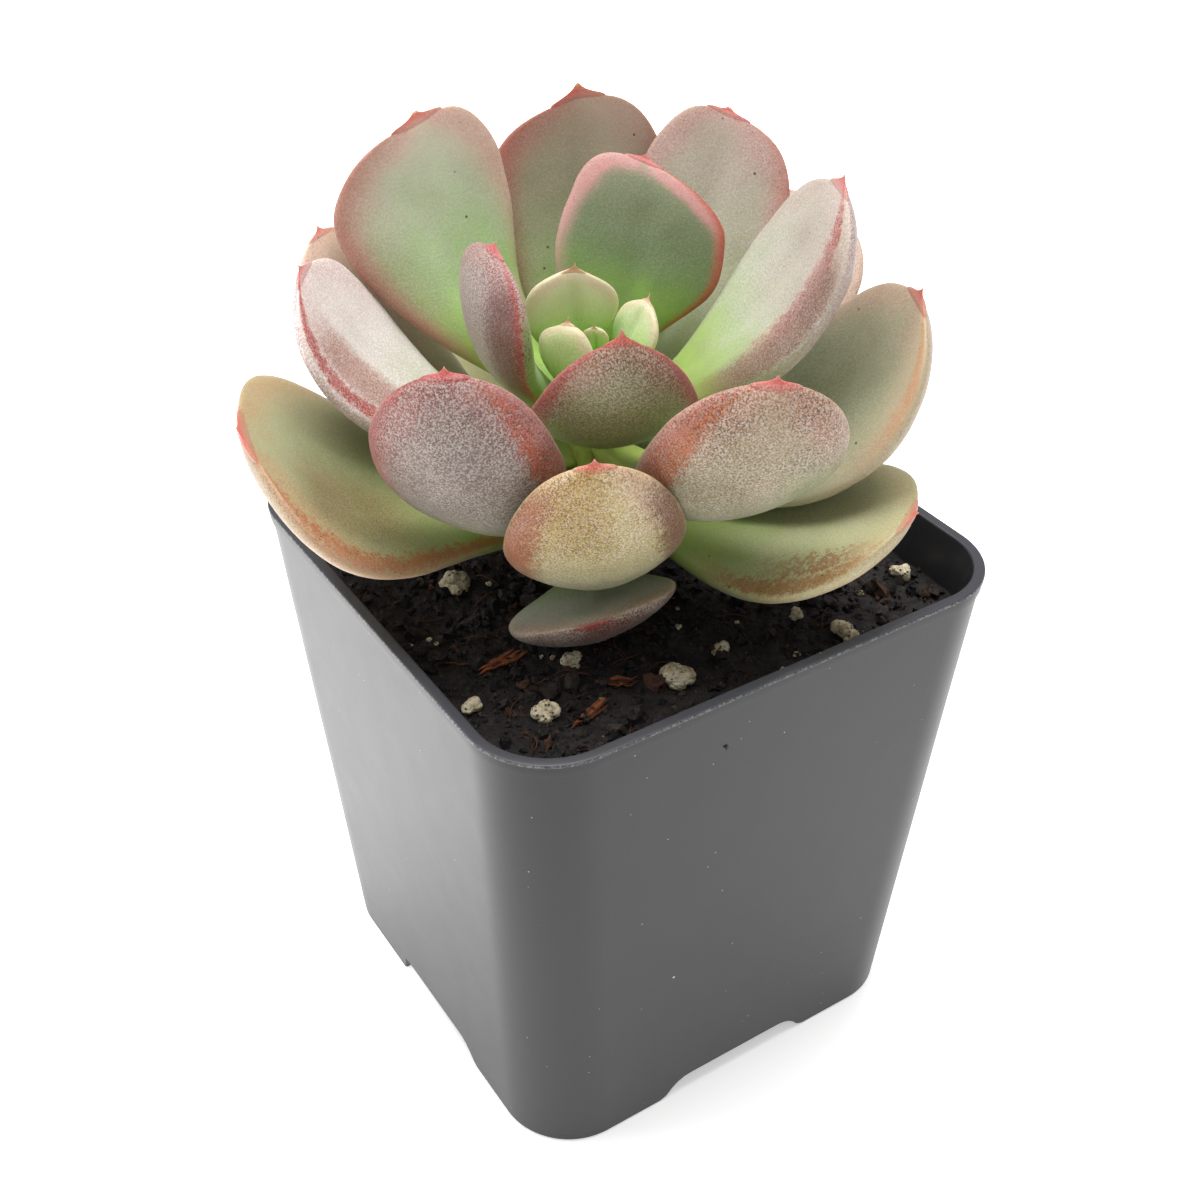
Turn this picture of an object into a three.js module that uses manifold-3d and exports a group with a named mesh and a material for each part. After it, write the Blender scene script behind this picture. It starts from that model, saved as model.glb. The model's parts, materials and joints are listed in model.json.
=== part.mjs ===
// A rosette succulent in a square nursery pot. Millimetres, +Z up. The pot stands on z = 0. Everything is drawn
// about the pot's own axis, and the whole is moved at the end so that its bounding box is centred on X and Y.
import * as THREE from "three";
import Module from "manifold-3d";

const wasm = await Module();
wasm.setup();

// ---------------------------------------------------------------- pot
const POT_HEIGHT = 56.5;
const RIM_SIDE = 55; // over the lip
const LIP_STEP = 0.5; // the lip stands this far outside the wall
const LIP_DEPTH = 1.8;
const LIP_WIDTH = 1.5;
const WALL = 1.0;
const BASE_SIDE = 47.4;
const CORNER_RIM = 8.0;
const CORNER_BASE = 7.6;
const FLOOR_UNDERSIDE = 2.6; // the floor is held off the ground by the corner feet
const FLOOR_THICKNESS = 1.2;
const ARCH_HALF_WIDTH = 9;
const ARCH_RISE = 2.3;
const DRAIN_RADIUS = 3;
const DRAIN_OFFSET = 13;
const CORNER_STEPS = 6;

// ---------------------------------------------------------------- soil
const SOIL_TOP = 50.6;
const SOIL_GAP = 0.3;
const SOIL_RINGS = 8;
const SOIL_SIDES = 40;
const SOCKET_DEPTH = 6;

// ---------------------------------------------------------------- plant
const STEM_AT = [-1.7, 1.1];
const STEM_RADIUS = 3.1;
const STEM_PROFILE = [
  [0, -SOCKET_DEPTH],
  [1.6, -SOCKET_DEPTH + 0.3],
  [2.8, -SOCKET_DEPTH + 2.4],
  [STEM_RADIUS, 0],
  [STEM_RADIUS, 17.2],
  [2.2, 19.0],
  [1.1, 20.2],
  [0.4, 21.0],
  [0, 21.3],
]; // radius, height above the soil
const LEAF_RINGS = 12;
const LEAF_SIDES = 12;
const LEAF_TOP_SHARE = 0.38; // of the thickness that lies above the margins
const LEAF_KEEL = 0.2;
const LEAF_DISH = 0.04; // how far the margins curl up, as a share of the width
const LEAF_NECK = 0.3; // width at the stem, as a share of the width
const MUCRO = 1.0;

// Where along its length a leaf is widest, and how quickly it narrows to its neck.
const FORMS = {
  spoon: { widest: 0.76, neckPower: 2.6 },
  oval: { widest: 0.66, neckPower: 1.9 },
  round: { widest: 0.56, neckPower: 1.9 },
};

// form, compass angle, height, rise at the stem, rise at the tip, length, width, thickness, roll, sweep
const LEAVES = {
  low_1: ["oval", 25, 56.8, 4, 30, 30.7, 17.2, 5.2, 0, 0],
  low_2: ["oval", 90, 58.2, 6, 31, 30.7, 16.8, 5, 3, 0],
  low_3: ["spoon", 169, 59.7, 5, 52, 34.3, 23.6, 5.5, -18, 13],
  low_4: ["round", 236, 54.4, -5, 34, 15.4, 16, 3.9, 15, 2],
  low_5: ["oval", 306, 59.3, -8, 38, 29, 19.7, 5.2, 9, -12],
  outer_1: ["spoon", 20, 61.6, 14, 48, 35.9, 18.3, 4.8, 15, -13],
  outer_2: ["spoon", 125, 63.2, 7, 69, 32.5, 13, 4.2, -8, -2],
  outer_3: ["round", 238, 57.6, 13, 79, 28.6, 15.7, 5, 8, -2],
  outer_4: ["oval", 325, 63.3, -3, 77, 33.8, 19.7, 5.4, 20, -9],
  low_6: ["spoon", 137, 56.5, 4, 30, 26, 14.5, 4.6, 0, 0],
  outer_5: ["spoon", 68, 60.5, 13, 48, 28.5, 12.4, 3.8, 0, 0],
  middle_1: ["spoon", 26, 67.2, 13, 65, 34.1, 15.4, 4.3, 21, 11],
  middle_2: ["spoon", 63, 66, 11, 87, 34.2, 18.7, 4.2, 18, -6],
  middle_3: ["spoon", 107, 69, 20, 80, 31.5, 17.6, 4.5, -16, -9],
  middle_4: ["spoon", 150, 65.4, 6, 74, 30.4, 17.2, 4.6, -9, 1],
  middle_5: ["oval", 203, 63.5, 5, 87, 31.1, 15.6, 5.4, 21, 14],
  middle_6: ["oval", 275, 66.6, -4, 80, 30.8, 16.6, 5.4, -22, -13],
  middle_7: ["oval", 333, 69.1, 23, 77, 28.8, 17.6, 5, 8, -2],
  inner_1: ["round", 43, 71.5, 56, 57, 19.6, 15.6, 3.8, 18, -12],
  inner_2: ["oval", 158, 70.9, 40, 102, 16.9, 15.2, 4.2, 3, 12],
  inner_3: ["round", 245, 71.4, 8, 82, 18.9, 13.5, 3.7, 0, 0],
  bud_1: ["oval", 103, 72.5, 66, 104, 9.9, 8.9, 3.1, -22, -12],
  bud_2: ["oval", 188, 72.1, 55, 100, 7, 6.4, 2.4, 10, 2],
  bud_3: ["oval", 354, 72.4, 53, 73, 7.5, 6.3, 2.2, 8, -5],
  heart_1: ["oval", 28, 74.5, 95, 109, 3.5, 2.6, 1.4, 11, 6],
};
// How far from the stem's axis the leaves of each ring start.
const RING_OFF_AXIS = { low: 3.6, outer: 3.6, middle: 3.6, inner: 3.6, bud: 1.8, heart: 0.6 };
const RING_COLOR = {
  low: 0xa3a77c,
  outer: 0x9dab88,
  middle: 0xa8b096,
  inner: 0x9fb385,
  bud: 0xa9c07a,
  heart: 0xb5cc85,
};

// ---------------------------------------------------------------- on the soil
// x, y, radius, flatness, turn
const PERLITE = {
  a: [-14.5, 6.6, 1.5, 0.8, 0.4],
  b: [23.7, -15.9, 1.2, 0.75, 1.3],
  c: [13.0, -20.0, 1.4, 0.8, 2.2],
  d: [-4.5, -17.6, 1.8, 0.75, 0.2],
  e: [1.5, -15.4, 0.9, 0.7, 2.8],
  f: [-11.2, -9.8, 1.0, 0.7, 3.3],
  g: [-17.0, -14.6, 1.3, 0.7, 1.9],
  h: [-22.2, -10.4, 1.0, 0.7, 4.2],
  i: [10.6, -15.5, 0.8, 0.7, 5.0],
  j: [12.0, 18.5, 1.4, 0.75, 0.9],
  k: [21.0, 6.5, 1.1, 0.75, 2.6],
};
// from x, y to x, y, width, height
const BARK = {
  a: [-15.9, -17.6, -11.4, -16.2, 0.8, 0.5],
  b: [-19.1, -6.4, -14.2, -6.0, 0.8, 0.5],
  c: [-11.2, -13.0, -7.6, -15.4, 1.3, 0.5],
  d: [6.0, 20.0, 10.0, 16.5, 1.2, 0.6],
  e: [-6.0, 18.0, -2.4, 19.5, 1.0, 0.6],
};

const rad = THREE.MathUtils.degToRad;

// One closed skin through rings of equal length, from a first pole to a last pole. Rings run anticlockwise seen
// from the last pole.
function skin(first, rings, last) {
  const n = rings[0].length;
  const position = [...first, ...rings.flat(2), ...last];
  const at = (k, j) => 1 + k * n + (j % n);
  const end = 1 + rings.length * n;
  const index = [];
  for (let j = 0; j < n; j++) {
    index.push(0, at(0, j + 1), at(0, j));
    index.push(end, at(rings.length - 1, j), at(rings.length - 1, j + 1));
  }
  for (let k = 0; k + 1 < rings.length; k++) {
    for (let j = 0; j < n; j++) {
      index.push(at(k, j), at(k, j + 1), at(k + 1, j + 1));
      index.push(at(k, j), at(k + 1, j + 1), at(k + 1, j));
    }
  }
  const geometry = new THREE.BufferGeometry();
  geometry.setAttribute("position", new THREE.Float32BufferAttribute(position, 3));
  geometry.setIndex(index);
  return geometry;
}

// Rounded square of the given side and corner radius at height z, anticlockwise.
function squareRing(side, corner, z) {
  const ring = [];
  const c = side / 2 - corner;
  for (let quarter = 0; quarter < 4; quarter++) {
    const mid = (quarter * Math.PI) / 2 + Math.PI / 4;
    const cx = Math.sign(Math.cos(mid)) * c;
    const cy = Math.sign(Math.sin(mid)) * c;
    for (let i = 0; i <= CORNER_STEPS; i++) {
      const a = ((quarter + i / CORNER_STEPS) * Math.PI) / 2;
      ring.push([cx + corner * Math.cos(a), cy + corner * Math.sin(a), z]);
    }
  }
  return ring;
}

const wallSide = (z) => BASE_SIDE + ((RIM_SIDE - 2 * LIP_STEP - BASE_SIDE) * z) / POT_HEIGHT;
const wallCorner = (z) => CORNER_BASE + ((CORNER_RIM - LIP_STEP - CORNER_BASE) * z) / POT_HEIGHT;

function solid(geometry) {
  return new wasm.Manifold(
    new wasm.Mesh({
      numProp: 3,
      vertProperties: new Float32Array(geometry.getAttribute("position").array),
      triVerts: new Uint32Array(geometry.index.array),
    }),
  );
}

function fromSolid(body) {
  const mesh = body.getMesh();
  const geometry = new THREE.BufferGeometry();
  geometry.setAttribute("position", new THREE.BufferAttribute(mesh.vertProperties, 3));
  geometry.setIndex(new THREE.BufferAttribute(mesh.triVerts, 1));
  return geometry;
}

function potGeometry() {
  const outside = (z, extra = 0) => squareRing(wallSide(z) + 2 * extra, wallCorner(z) + extra, z);
  const inside = (z) => squareRing(wallSide(z) - 2 * WALL, wallCorner(z) - WALL, z);
  const under = FLOOR_UNDERSIDE;
  const lipFoot = POT_HEIGHT - LIP_DEPTH;
  const landInner = RIM_SIDE - 2 * LIP_WIDTH;
  const body = solid(
    skin(
      [0, 0, under],
      [
        squareRing(wallSide(under) - 2 * WALL, wallCorner(under) - WALL, under),
        inside(0),
        outside(0),
        outside(lipFoot - LIP_STEP),
        outside(lipFoot, LIP_STEP - 0.1),
        squareRing(RIM_SIDE, CORNER_RIM, POT_HEIGHT - 0.3),
        squareRing(RIM_SIDE - 0.5, CORNER_RIM - 0.25, POT_HEIGHT),
        squareRing(landInner + 0.4, CORNER_RIM - LIP_WIDTH + 0.2, POT_HEIGHT),
        squareRing(landInner, CORNER_RIM - LIP_WIDTH, POT_HEIGHT - 0.3),
        inside(under + FLOOR_THICKNESS),
      ],
      [0, 0, under + FLOOR_THICKNESS],
    ),
  );
  return fromSolid(archTools().concat(drainTools()).reduce((pot, tool) => pot.subtract(tool), body));
}

// The shallow arches between the feet, cut through the skirt under the floor.
function archTools() {
  const arch = new THREE.Shape();
  const shoulder = ARCH_HALF_WIDTH * 0.62;
  arch.moveTo(-ARCH_HALF_WIDTH, -1);
  arch.lineTo(ARCH_HALF_WIDTH, -1);
  arch.lineTo(ARCH_HALF_WIDTH, 0);
  arch.quadraticCurveTo(ARCH_HALF_WIDTH * 0.9, ARCH_RISE, shoulder, ARCH_RISE);
  arch.lineTo(-shoulder, ARCH_RISE);
  arch.quadraticCurveTo(-ARCH_HALF_WIDTH * 0.9, ARCH_RISE, -ARCH_HALF_WIDTH, 0);
  arch.closePath();
  return [0, 90].map((turn) => {
    const settings = { depth: RIM_SIDE, bevelEnabled: false, curveSegments: 6 };
    const geometry = new THREE.ExtrudeGeometry(arch, settings);
    geometry.translate(0, 0, -RIM_SIDE / 2);
    geometry.rotateX(rad(90));
    geometry.rotateZ(rad(turn));
    return solid(welded(geometry));
  });
}

function drainTools() {
  const spots = [[0, 0]];
  for (const sx of [-1, 1]) {
    for (const sy of [-1, 1]) {
      spots.push([sx * DRAIN_OFFSET, sy * DRAIN_OFFSET]);
    }
  }
  return spots.map(([x, y]) => {
    const geometry = new THREE.CylinderGeometry(DRAIN_RADIUS, DRAIN_RADIUS, 6, 16);
    geometry.rotateX(rad(90));
    geometry.translate(x, y, FLOOR_UNDERSIDE + FLOOR_THICKNESS / 2);
    return solid(welded(geometry));
  });
}

// Joins the vertices that three.js keeps apart for their normals.
function welded(geometry) {
  const source = geometry.getAttribute("position");
  const plain = Array.from({ length: source.count }, (_, i) => i);
  const order = geometry.index ? Array.from(geometry.index.array) : plain;
  const known = new Map();
  const position = [];
  const index = order.map((i) => {
    const p = [source.getX(i), source.getY(i), source.getZ(i)];
    const key = p.map((v) => Math.round(v * 1e4)).join();
    if (!known.has(key)) {
      known.set(key, position.length / 3);
      position.push(...p);
    }
    return known.get(key);
  });
  const faces = [];
  for (let i = 0; i < index.length; i += 3) {
    const [a, b, c] = index.slice(i, i + 3);
    if (a !== b && b !== c && c !== a) faces.push(a, b, c);
  }
  const out = new THREE.BufferGeometry();
  out.setAttribute("position", new THREE.Float32BufferAttribute(position, 3));
  out.setIndex(faces);
  return out;
}

// Soil surface: a low mound round the stem, with gentle hollows.
function soilHeight(x, y) {
  const r = Math.hypot(x - STEM_AT[0], y - STEM_AT[1]);
  const mound = 0.5 * Math.exp(-(r * r) / 60);
  const hollows = 0.3 * Math.sin(x * 0.42 + 1.1) * Math.cos(y * 0.37 - 0.4);
  const grain = 0.16 * Math.sin(x * 1.3 - y * 0.9);
  return SOIL_TOP + mound + hollows + grain;
}

// The inside of the pot at height z, less the gap, evenly divided by angle and drawn in towards the middle by share.
function plugRing(z, share) {
  const corner = wallCorner(z) - WALL - SOIL_GAP;
  const flat = wallSide(z) / 2 - WALL - SOIL_GAP;
  const c = flat - corner;
  const ring = [];
  for (let j = 0; j < SOIL_SIDES; j++) {
    const a = ((j + 0.5) / SOIL_SIDES) * 2 * Math.PI;
    const [ux, uy] = [Math.abs(Math.cos(a)), Math.abs(Math.sin(a))];
    let reach = flat / Math.max(ux, uy);
    if (reach * Math.min(ux, uy) > c) {
      const along = c * (ux + uy);
      reach = along + Math.sqrt(along * along - 2 * c * c + corner * corner);
    }
    const r = reach * share;
    ring.push([r * Math.cos(a), r * Math.sin(a), z]);
  }
  return ring;
}

function soilGeometry() {
  const low = FLOOR_UNDERSIDE + FLOOR_THICKNESS + SOIL_GAP;
  const rings = [plugRing(low, 1), plugRing(SOIL_TOP - 1.2, 1)];
  for (let k = 0; k < SOIL_RINGS; k++) {
    const level = plugRing(SOIL_TOP - 1, 1 - k / SOIL_RINGS);
    rings.push(level.map(([x, y]) => [x, y, soilHeight(x, y)]));
  }
  const body = solid(skin([0, 0, low], rings, [0, 0, soilHeight(0, 0)]));
  const socket = new THREE.LatheGeometry(
    [
      new THREE.Vector2(0, -SOCKET_DEPTH - SOIL_GAP),
      new THREE.Vector2(1.9, -SOCKET_DEPTH),
      new THREE.Vector2(3.1, -SOCKET_DEPTH + 2.3),
      new THREE.Vector2(STEM_RADIUS + SOIL_GAP, 0),
      new THREE.Vector2(STEM_RADIUS + SOIL_GAP, 4),
      new THREE.Vector2(0, 4),
    ],
    20,
  );
  socket.rotateX(rad(90));
  socket.translate(...STEM_AT, SOIL_TOP);
  return fromSolid(body.subtract(solid(welded(socket))));
}

function stemGeometry() {
  const geometry = new THREE.LatheGeometry(
    STEM_PROFILE.map(([r, z]) => new THREE.Vector2(r, z)),
    20,
  );
  geometry.rotateX(rad(90));
  geometry.translate(...STEM_AT, SOIL_TOP);
  return geometry;
}

// Half width along the leaf, 0 at the stem to 1 at the tip, as a share of the widest half.
function widthShare(s, form) {
  if (s < form.widest) {
    return LEAF_NECK + (1 - LEAF_NECK) * Math.sin(((s / form.widest) * Math.PI) / 2) ** form.neckPower;
  }
  const x = (s - form.widest) / (1 - form.widest);
  return 0.95 * Math.sqrt(Math.max(0, 1 - x ** 2.5)) + 0.05 * (1 - x);
}

function thicknessShare(s) {
  if (s < 0.5) {
    return 0.5 + 0.5 * Math.sin(s * Math.PI);
  }
  return (1 - ((s - 0.5) / 0.5) ** 2.6) ** 0.6;
}

// A leaf grows out of the stem and curls upwards evenly along its length.
function leafGeometry(row, offAxis) {
  const [formName, compass, height, riseFoot, riseTip, length, width, thickness, roll, sweep] = row;
  const form = FORMS[formName];
  const foot = new THREE.Vector3(
    STEM_AT[0] + offAxis * Math.cos(rad(compass)),
    STEM_AT[1] + offAxis * Math.sin(rad(compass)),
    height,
  );
  const along = (s) => {
    const rise = rad(riseFoot + (riseTip - riseFoot) * s);
    const heading = rad(compass + sweep * s);
    return new THREE.Vector3(
      Math.cos(rise) * Math.cos(heading),
      Math.cos(rise) * Math.sin(heading),
      Math.sin(rise),
    );
  };
  const steps = 40;
  const middle = [foot.clone()];
  for (let i = 1; i <= steps; i++) {
    const step = along((i - 1) / steps).add(along(i / steps));
    middle.push(middle[i - 1].clone().addScaledVector(step, length / steps / 2));
  }
  const at = (s) => {
    const i = Math.min(steps - 1, Math.floor(s * steps));
    return middle[i].clone().lerp(middle[i + 1], s * steps - i);
  };
  const rings = [];
  for (let k = 0; k < LEAF_RINGS; k++) {
    const s = 0.99 * Math.sin(((k / (LEAF_RINGS - 1)) * Math.PI) / 2);
    const t = along(s);
    const heading = rad(compass + sweep * s);
    const level = new THREE.Vector3(-Math.sin(heading), Math.cos(heading), 0);
    const normal = t.clone().cross(level);
    const side = level.clone().applyAxisAngle(t, rad(roll));
    normal.applyAxisAngle(t, rad(roll));
    const half = (width / 2) * widthShare(s, form);
    const thick = thickness * thicknessShare(s);
    const keel = LEAF_KEEL * Math.min(1, 1.5 * s);
    const ring = [];
    for (let j = 0; j < LEAF_SIDES; j++) {
      const a = (j / LEAF_SIDES) * 2 * Math.PI;
      const u = Math.cos(a);
      const v = Math.sin(a);
      const belly = v < 0 ? (1 - keel) * -v + keel * (1 - Math.abs(u)) : 0;
      const dish = LEAF_DISH * width * (u * u - 0.3) * (half / (width / 2)) * Math.min(1, 2.2 * s);
      const lift = LEAF_TOP_SHARE * thick * Math.max(0, v) - (1 - LEAF_TOP_SHARE) * thick * belly + dish;
      ring.push(at(s).addScaledVector(side, u * half).addScaledVector(normal, lift).toArray());
    }
    rings.push(ring);
  }
  const tip = at(1).addScaledVector(along(1), MUCRO);
  return skin(foot.toArray(), rings, tip.toArray());
}

function grainGeometry([x, y, radius, flat, turn]) {
  const geometry = welded(new THREE.IcosahedronGeometry(radius, 1));
  const p = geometry.getAttribute("position");
  for (let i = 0; i < p.count; i++) {
    const lump = 1 + 0.16 * Math.sin(i * 2.4 + turn) + 0.08 * Math.cos(i * 5.1);
    p.setXYZ(i, p.getX(i) * lump, p.getY(i) * lump, p.getZ(i) * lump * flat);
  }
  geometry.rotateZ(turn);
  geometry.computeBoundingBox();
  geometry.translate(x, y, restHeight(x, y, radius) - geometry.boundingBox.min.z);
  return geometry;
}

// The lowest height at which a piece of that reach clears the soil under it.
function restHeight(x, y, reach) {
  let top = -Infinity;
  for (let i = 0; i < 16; i++) {
    for (const r of [0, 0.5, 1]) {
      const a = (i * Math.PI) / 8;
      top = Math.max(top, soilHeight(x + r * reach * Math.cos(a), y + r * reach * Math.sin(a)));
    }
  }
  return top + 0.12;
}

function barkGeometry([x0, y0, x1, y1, width, height]) {
  const length = Math.hypot(x1 - x0, y1 - y0);
  const rings = [];
  for (let k = 0; k < 5; k++) {
    const s = k / 4;
    const swell = 0.7 + 0.3 * Math.sin(s * 9 + x0);
    const ring = [];
    for (let j = 0; j < 6; j++) {
      const a = (j * Math.PI) / 3 + 0.3;
      ring.push([s * length, (width / 2) * swell * Math.cos(a), (height / 2) * swell * Math.sin(a)]);
    }
    rings.push(ring);
  }
  const geometry = skin([-0.1, 0, 0], rings, [length + 0.1, 0, 0]);
  geometry.rotateZ(Math.atan2(y1 - y0, x1 - x0));
  const mid = [(x0 + x1) / 2, (y0 + y1) / 2];
  geometry.translate(x0, y0, restHeight(...mid, length / 2) + 0.2 + height / 2);
  return geometry;
}

const group = new THREE.Group();

function add(name, geometry, color, roughness) {
  const mesh = new THREE.Mesh(geometry, new THREE.MeshStandardMaterial({ color, roughness, metalness: 0 }));
  mesh.name = name;
  group.add(mesh);
}

add("pot", potGeometry(), 0x3a3b3d, 0.45);
add("potting_mix", soilGeometry(), 0x1b1512, 0.95);
add("stem", stemGeometry(), 0x8a7a52, 0.8);
for (const [name, row] of Object.entries(LEAVES)) {
  const ring = name.split("_")[0];
  add("leaf_" + name, leafGeometry(row, RING_OFF_AXIS[ring]), RING_COLOR[ring], 0.6);
}
for (const [name, row] of Object.entries(PERLITE)) {
  add("perlite_" + name, grainGeometry(row), 0xe8e3d6, 0.85);
}
for (const [name, row] of Object.entries(BARK)) {
  add("bark_" + name, barkGeometry(row), 0x8a5a35, 0.85);
}

// The origin is under the middle of the whole, on the ground; the plant reaches further back and left than the pot.
group.updateMatrixWorld(true);
const middle = new THREE.Box3().setFromObject(group).getCenter(new THREE.Vector3());
group.position.set(-middle.x, -middle.y, 0);

export default group;
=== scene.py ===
"""Looks of a rosette succulent in a small square nursery pot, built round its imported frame."""

import json
import logging
import math
from collections.abc import Sequence
from dataclasses import dataclass, field, replace
from enum import Enum

import bpy
import numpy as np
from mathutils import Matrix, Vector, noise

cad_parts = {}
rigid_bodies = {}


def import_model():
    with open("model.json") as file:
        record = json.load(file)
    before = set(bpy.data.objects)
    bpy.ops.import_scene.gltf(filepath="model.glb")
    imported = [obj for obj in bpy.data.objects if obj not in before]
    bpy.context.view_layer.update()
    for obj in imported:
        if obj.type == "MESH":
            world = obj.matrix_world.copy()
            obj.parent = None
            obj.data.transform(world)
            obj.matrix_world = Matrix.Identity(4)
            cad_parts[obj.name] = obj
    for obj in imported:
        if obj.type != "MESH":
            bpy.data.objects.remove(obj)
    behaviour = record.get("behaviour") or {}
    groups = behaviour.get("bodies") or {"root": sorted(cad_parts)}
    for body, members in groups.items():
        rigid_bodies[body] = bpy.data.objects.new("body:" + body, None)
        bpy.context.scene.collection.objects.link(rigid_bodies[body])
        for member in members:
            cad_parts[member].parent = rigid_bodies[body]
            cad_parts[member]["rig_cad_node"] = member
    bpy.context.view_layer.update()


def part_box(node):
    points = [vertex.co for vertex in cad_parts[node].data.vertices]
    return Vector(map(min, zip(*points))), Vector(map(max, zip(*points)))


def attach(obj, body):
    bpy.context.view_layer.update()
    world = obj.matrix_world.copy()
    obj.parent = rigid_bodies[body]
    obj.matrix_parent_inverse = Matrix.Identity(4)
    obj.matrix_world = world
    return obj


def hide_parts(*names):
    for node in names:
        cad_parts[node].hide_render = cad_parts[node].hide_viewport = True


MM = 0.001
BODY = "root"
GLASSY = 1.45  # refractive index of leaf skin and moulded plastic

log = logging.getLogger("succulent")


# ------------------------------------------------------------------ colour and node helpers
def tint(code: str, alpha: float = 1.0) -> tuple[float, float, float, float]:
    """Turns a colour code into linear light.

    Args:
        code: six hexadecimal digits, red, green and blue as a screen shows them.
        alpha: the fourth number.

    Returns:
        Linear red, green, blue and alpha.
    """
    parts = [int(code[i : i + 2], 16) / 255 for i in (0, 2, 4)]
    linear = [c / 12.92 if c <= 0.04045 else ((c + 0.055) / 1.055) ** 2.4 for c in parts]
    return (*linear, alpha)


class Kind(Enum):
    """What a group's socket carries."""

    NUMBER = "NodeSocketFloat"
    COLOUR = "NodeSocketColor"
    VECTOR = "NodeSocketVector"


# Sockets of a group that don't carry a number.
SOCKET_KINDS = {
    "Colour": Kind.COLOUR,
    "Shade": Kind.COLOUR,
    "Ink": Kind.COLOUR,
    "Powder": Kind.COLOUR,
    "Point": Kind.VECTOR,
}


class Desk:
    """Adds nodes to one node tree and wires them up."""

    def __init__(self, tree: bpy.types.NodeTree) -> None:
        """Starts on a tree that may already hold nodes."""
        self.tree = tree

    def feed(self, socket: bpy.types.NodeSocket, value: object) -> None:
        """Links a socket to an output, or sets its own value.

        Args:
            socket: the input to fill.
            value: an output socket, a number or a colour.
        """
        if isinstance(value, bpy.types.NodeSocket):
            self.tree.links.new(value, socket)
        else:
            socket.default_value = value

    def fill(self, node: bpy.types.Node, inputs: dict) -> bpy.types.Node:
        """Feeds several inputs of a node.

        Args:
            node: the node.
            inputs: input name or number to what feeds it.

        Returns:
            The node.
        """
        for name, value in inputs.items():
            self.feed(node.inputs[name], value)
        return node

    def node(self, kind: str, inputs: dict | None = None, **settings: object) -> bpy.types.Node:
        """Adds a node.

        Args:
            kind: the node's type name, less its leading ShaderNode.
            inputs: input name or number to what feeds it.
            settings: the node's own properties.

        Returns:
            The node.
        """
        made = self.tree.nodes.new("ShaderNode" + kind)
        for name, value in settings.items():
            setattr(made, name, value)
        return self.fill(made, inputs or {})

    def math(self, operation: str, *terms: object, clamp: bool = False) -> bpy.types.NodeSocket:
        """Works out one sum, held between 0 and 1 if clamp is set, and returns its output."""
        return self.node("Math", dict(enumerate(terms)), operation=operation, use_clamp=clamp).outputs[0]

    def plus(self, a: object, b: object, clamp: bool = False) -> bpy.types.NodeSocket:
        """Adds two values."""
        return self.math("ADD", a, b, clamp=clamp)

    def minus(self, a: object, b: object, clamp: bool = False) -> bpy.types.NodeSocket:
        """Takes the second value from the first."""
        return self.math("SUBTRACT", a, b, clamp=clamp)

    def times(self, a: object, b: object, clamp: bool = False) -> bpy.types.NodeSocket:
        """Multiplies two values."""
        return self.math("MULTIPLY", a, b, clamp=clamp)

    def ease(
        self, value: object, low: object, high: object, at_low: object = 0.0, at_high: object = 1.0
    ) -> bpy.types.NodeSocket:
        """Maps a value smoothly from low..high to at_low..at_high, held beyond both."""
        inputs = {"Value": value, "From Min": low, "From Max": high, "To Min": at_low, "To Max": at_high}
        return self.node("MapRange", inputs, interpolation_type="SMOOTHSTEP").outputs["Result"]

    def blend(self, share: object, a: object, b: object) -> bpy.types.NodeSocket:
        """Mixes two colours by a share and returns the colour."""
        inputs = {0: share, 6: a, 7: b}
        return self.node("Mix", inputs, data_type="RGBA", clamp_factor=True).outputs[2]

    def cloud(
        self, point: object, scale: object, detail: float = 2.0, rough: float = 0.5, warp: float = 0.0
    ) -> bpy.types.NodeSocket:
        """Adds a noise texture read at a point and returns its value."""
        inputs = {"Vector": point, "Scale": scale, "Detail": detail, "Roughness": rough, "Distortion": warp}
        return self.node("TexNoise", inputs).outputs[0]

    def value_of(self, name: str) -> bpy.types.NodeSocket:
        """Reads a number stored on the mesh under that name."""
        return self.node("Attribute", attribute_name=name, attribute_type="GEOMETRY").outputs["Fac"]

    def height_of(self, point: object) -> bpy.types.NodeSocket:
        """The upright part of a point."""
        return self.node("SeparateXYZ", {0: point}).outputs[2]

    def group(self, tree: bpy.types.NodeTree, **inputs: object) -> bpy.types.Node:
        """Places a node group with its own values.

        Args:
            tree: the group.
            inputs: what feeds it, named as its inputs are, in small letters.

        Returns:
            The group's node.
        """
        made = self.tree.nodes.new("ShaderNodeGroup")
        made.node_tree = tree
        return self.fill(made, {name.capitalize(): value for name, value in inputs.items()})

    def effect(self, tree: bpy.types.NodeTree, **inputs: object) -> bpy.types.NodeSocket:
        """Places a node group with its own values and returns its first output."""
        return self.group(tree, **inputs).outputs[0]


class GroupDesk(Desk):
    """A desk on a new shader node group."""

    def __init__(self, name: str, inputs: str, outputs: str) -> None:
        """Makes the group and its sockets.

        Args:
            name: the group's name.
            inputs: the names of its inputs, parted by spaces.
            outputs: the names of its outputs, the same.
        """
        super().__init__(bpy.data.node_groups.new(name, "ShaderNodeTree"))
        for way, labels in (("INPUT", inputs), ("OUTPUT", outputs)):
            for label in labels.split():
                kind = SOCKET_KINDS.get(label, Kind.NUMBER)
                self.tree.interface.new_socket(label, in_out=way, socket_type=kind.value)
        source = self.tree.nodes.new("NodeGroupInput")
        self.given = [source.outputs[label] for label in inputs.split()]
        self.result = self.tree.nodes.new("NodeGroupOutput")

    def close(self, *values: object) -> bpy.types.NodeTree:
        """Feeds the group's outputs in their order.

        Args:
            values: one for each output.

        Returns:
            The group's tree.
        """
        for socket, value in zip(self.result.inputs, values):
            self.feed(socket, value)
        return self.tree


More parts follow.
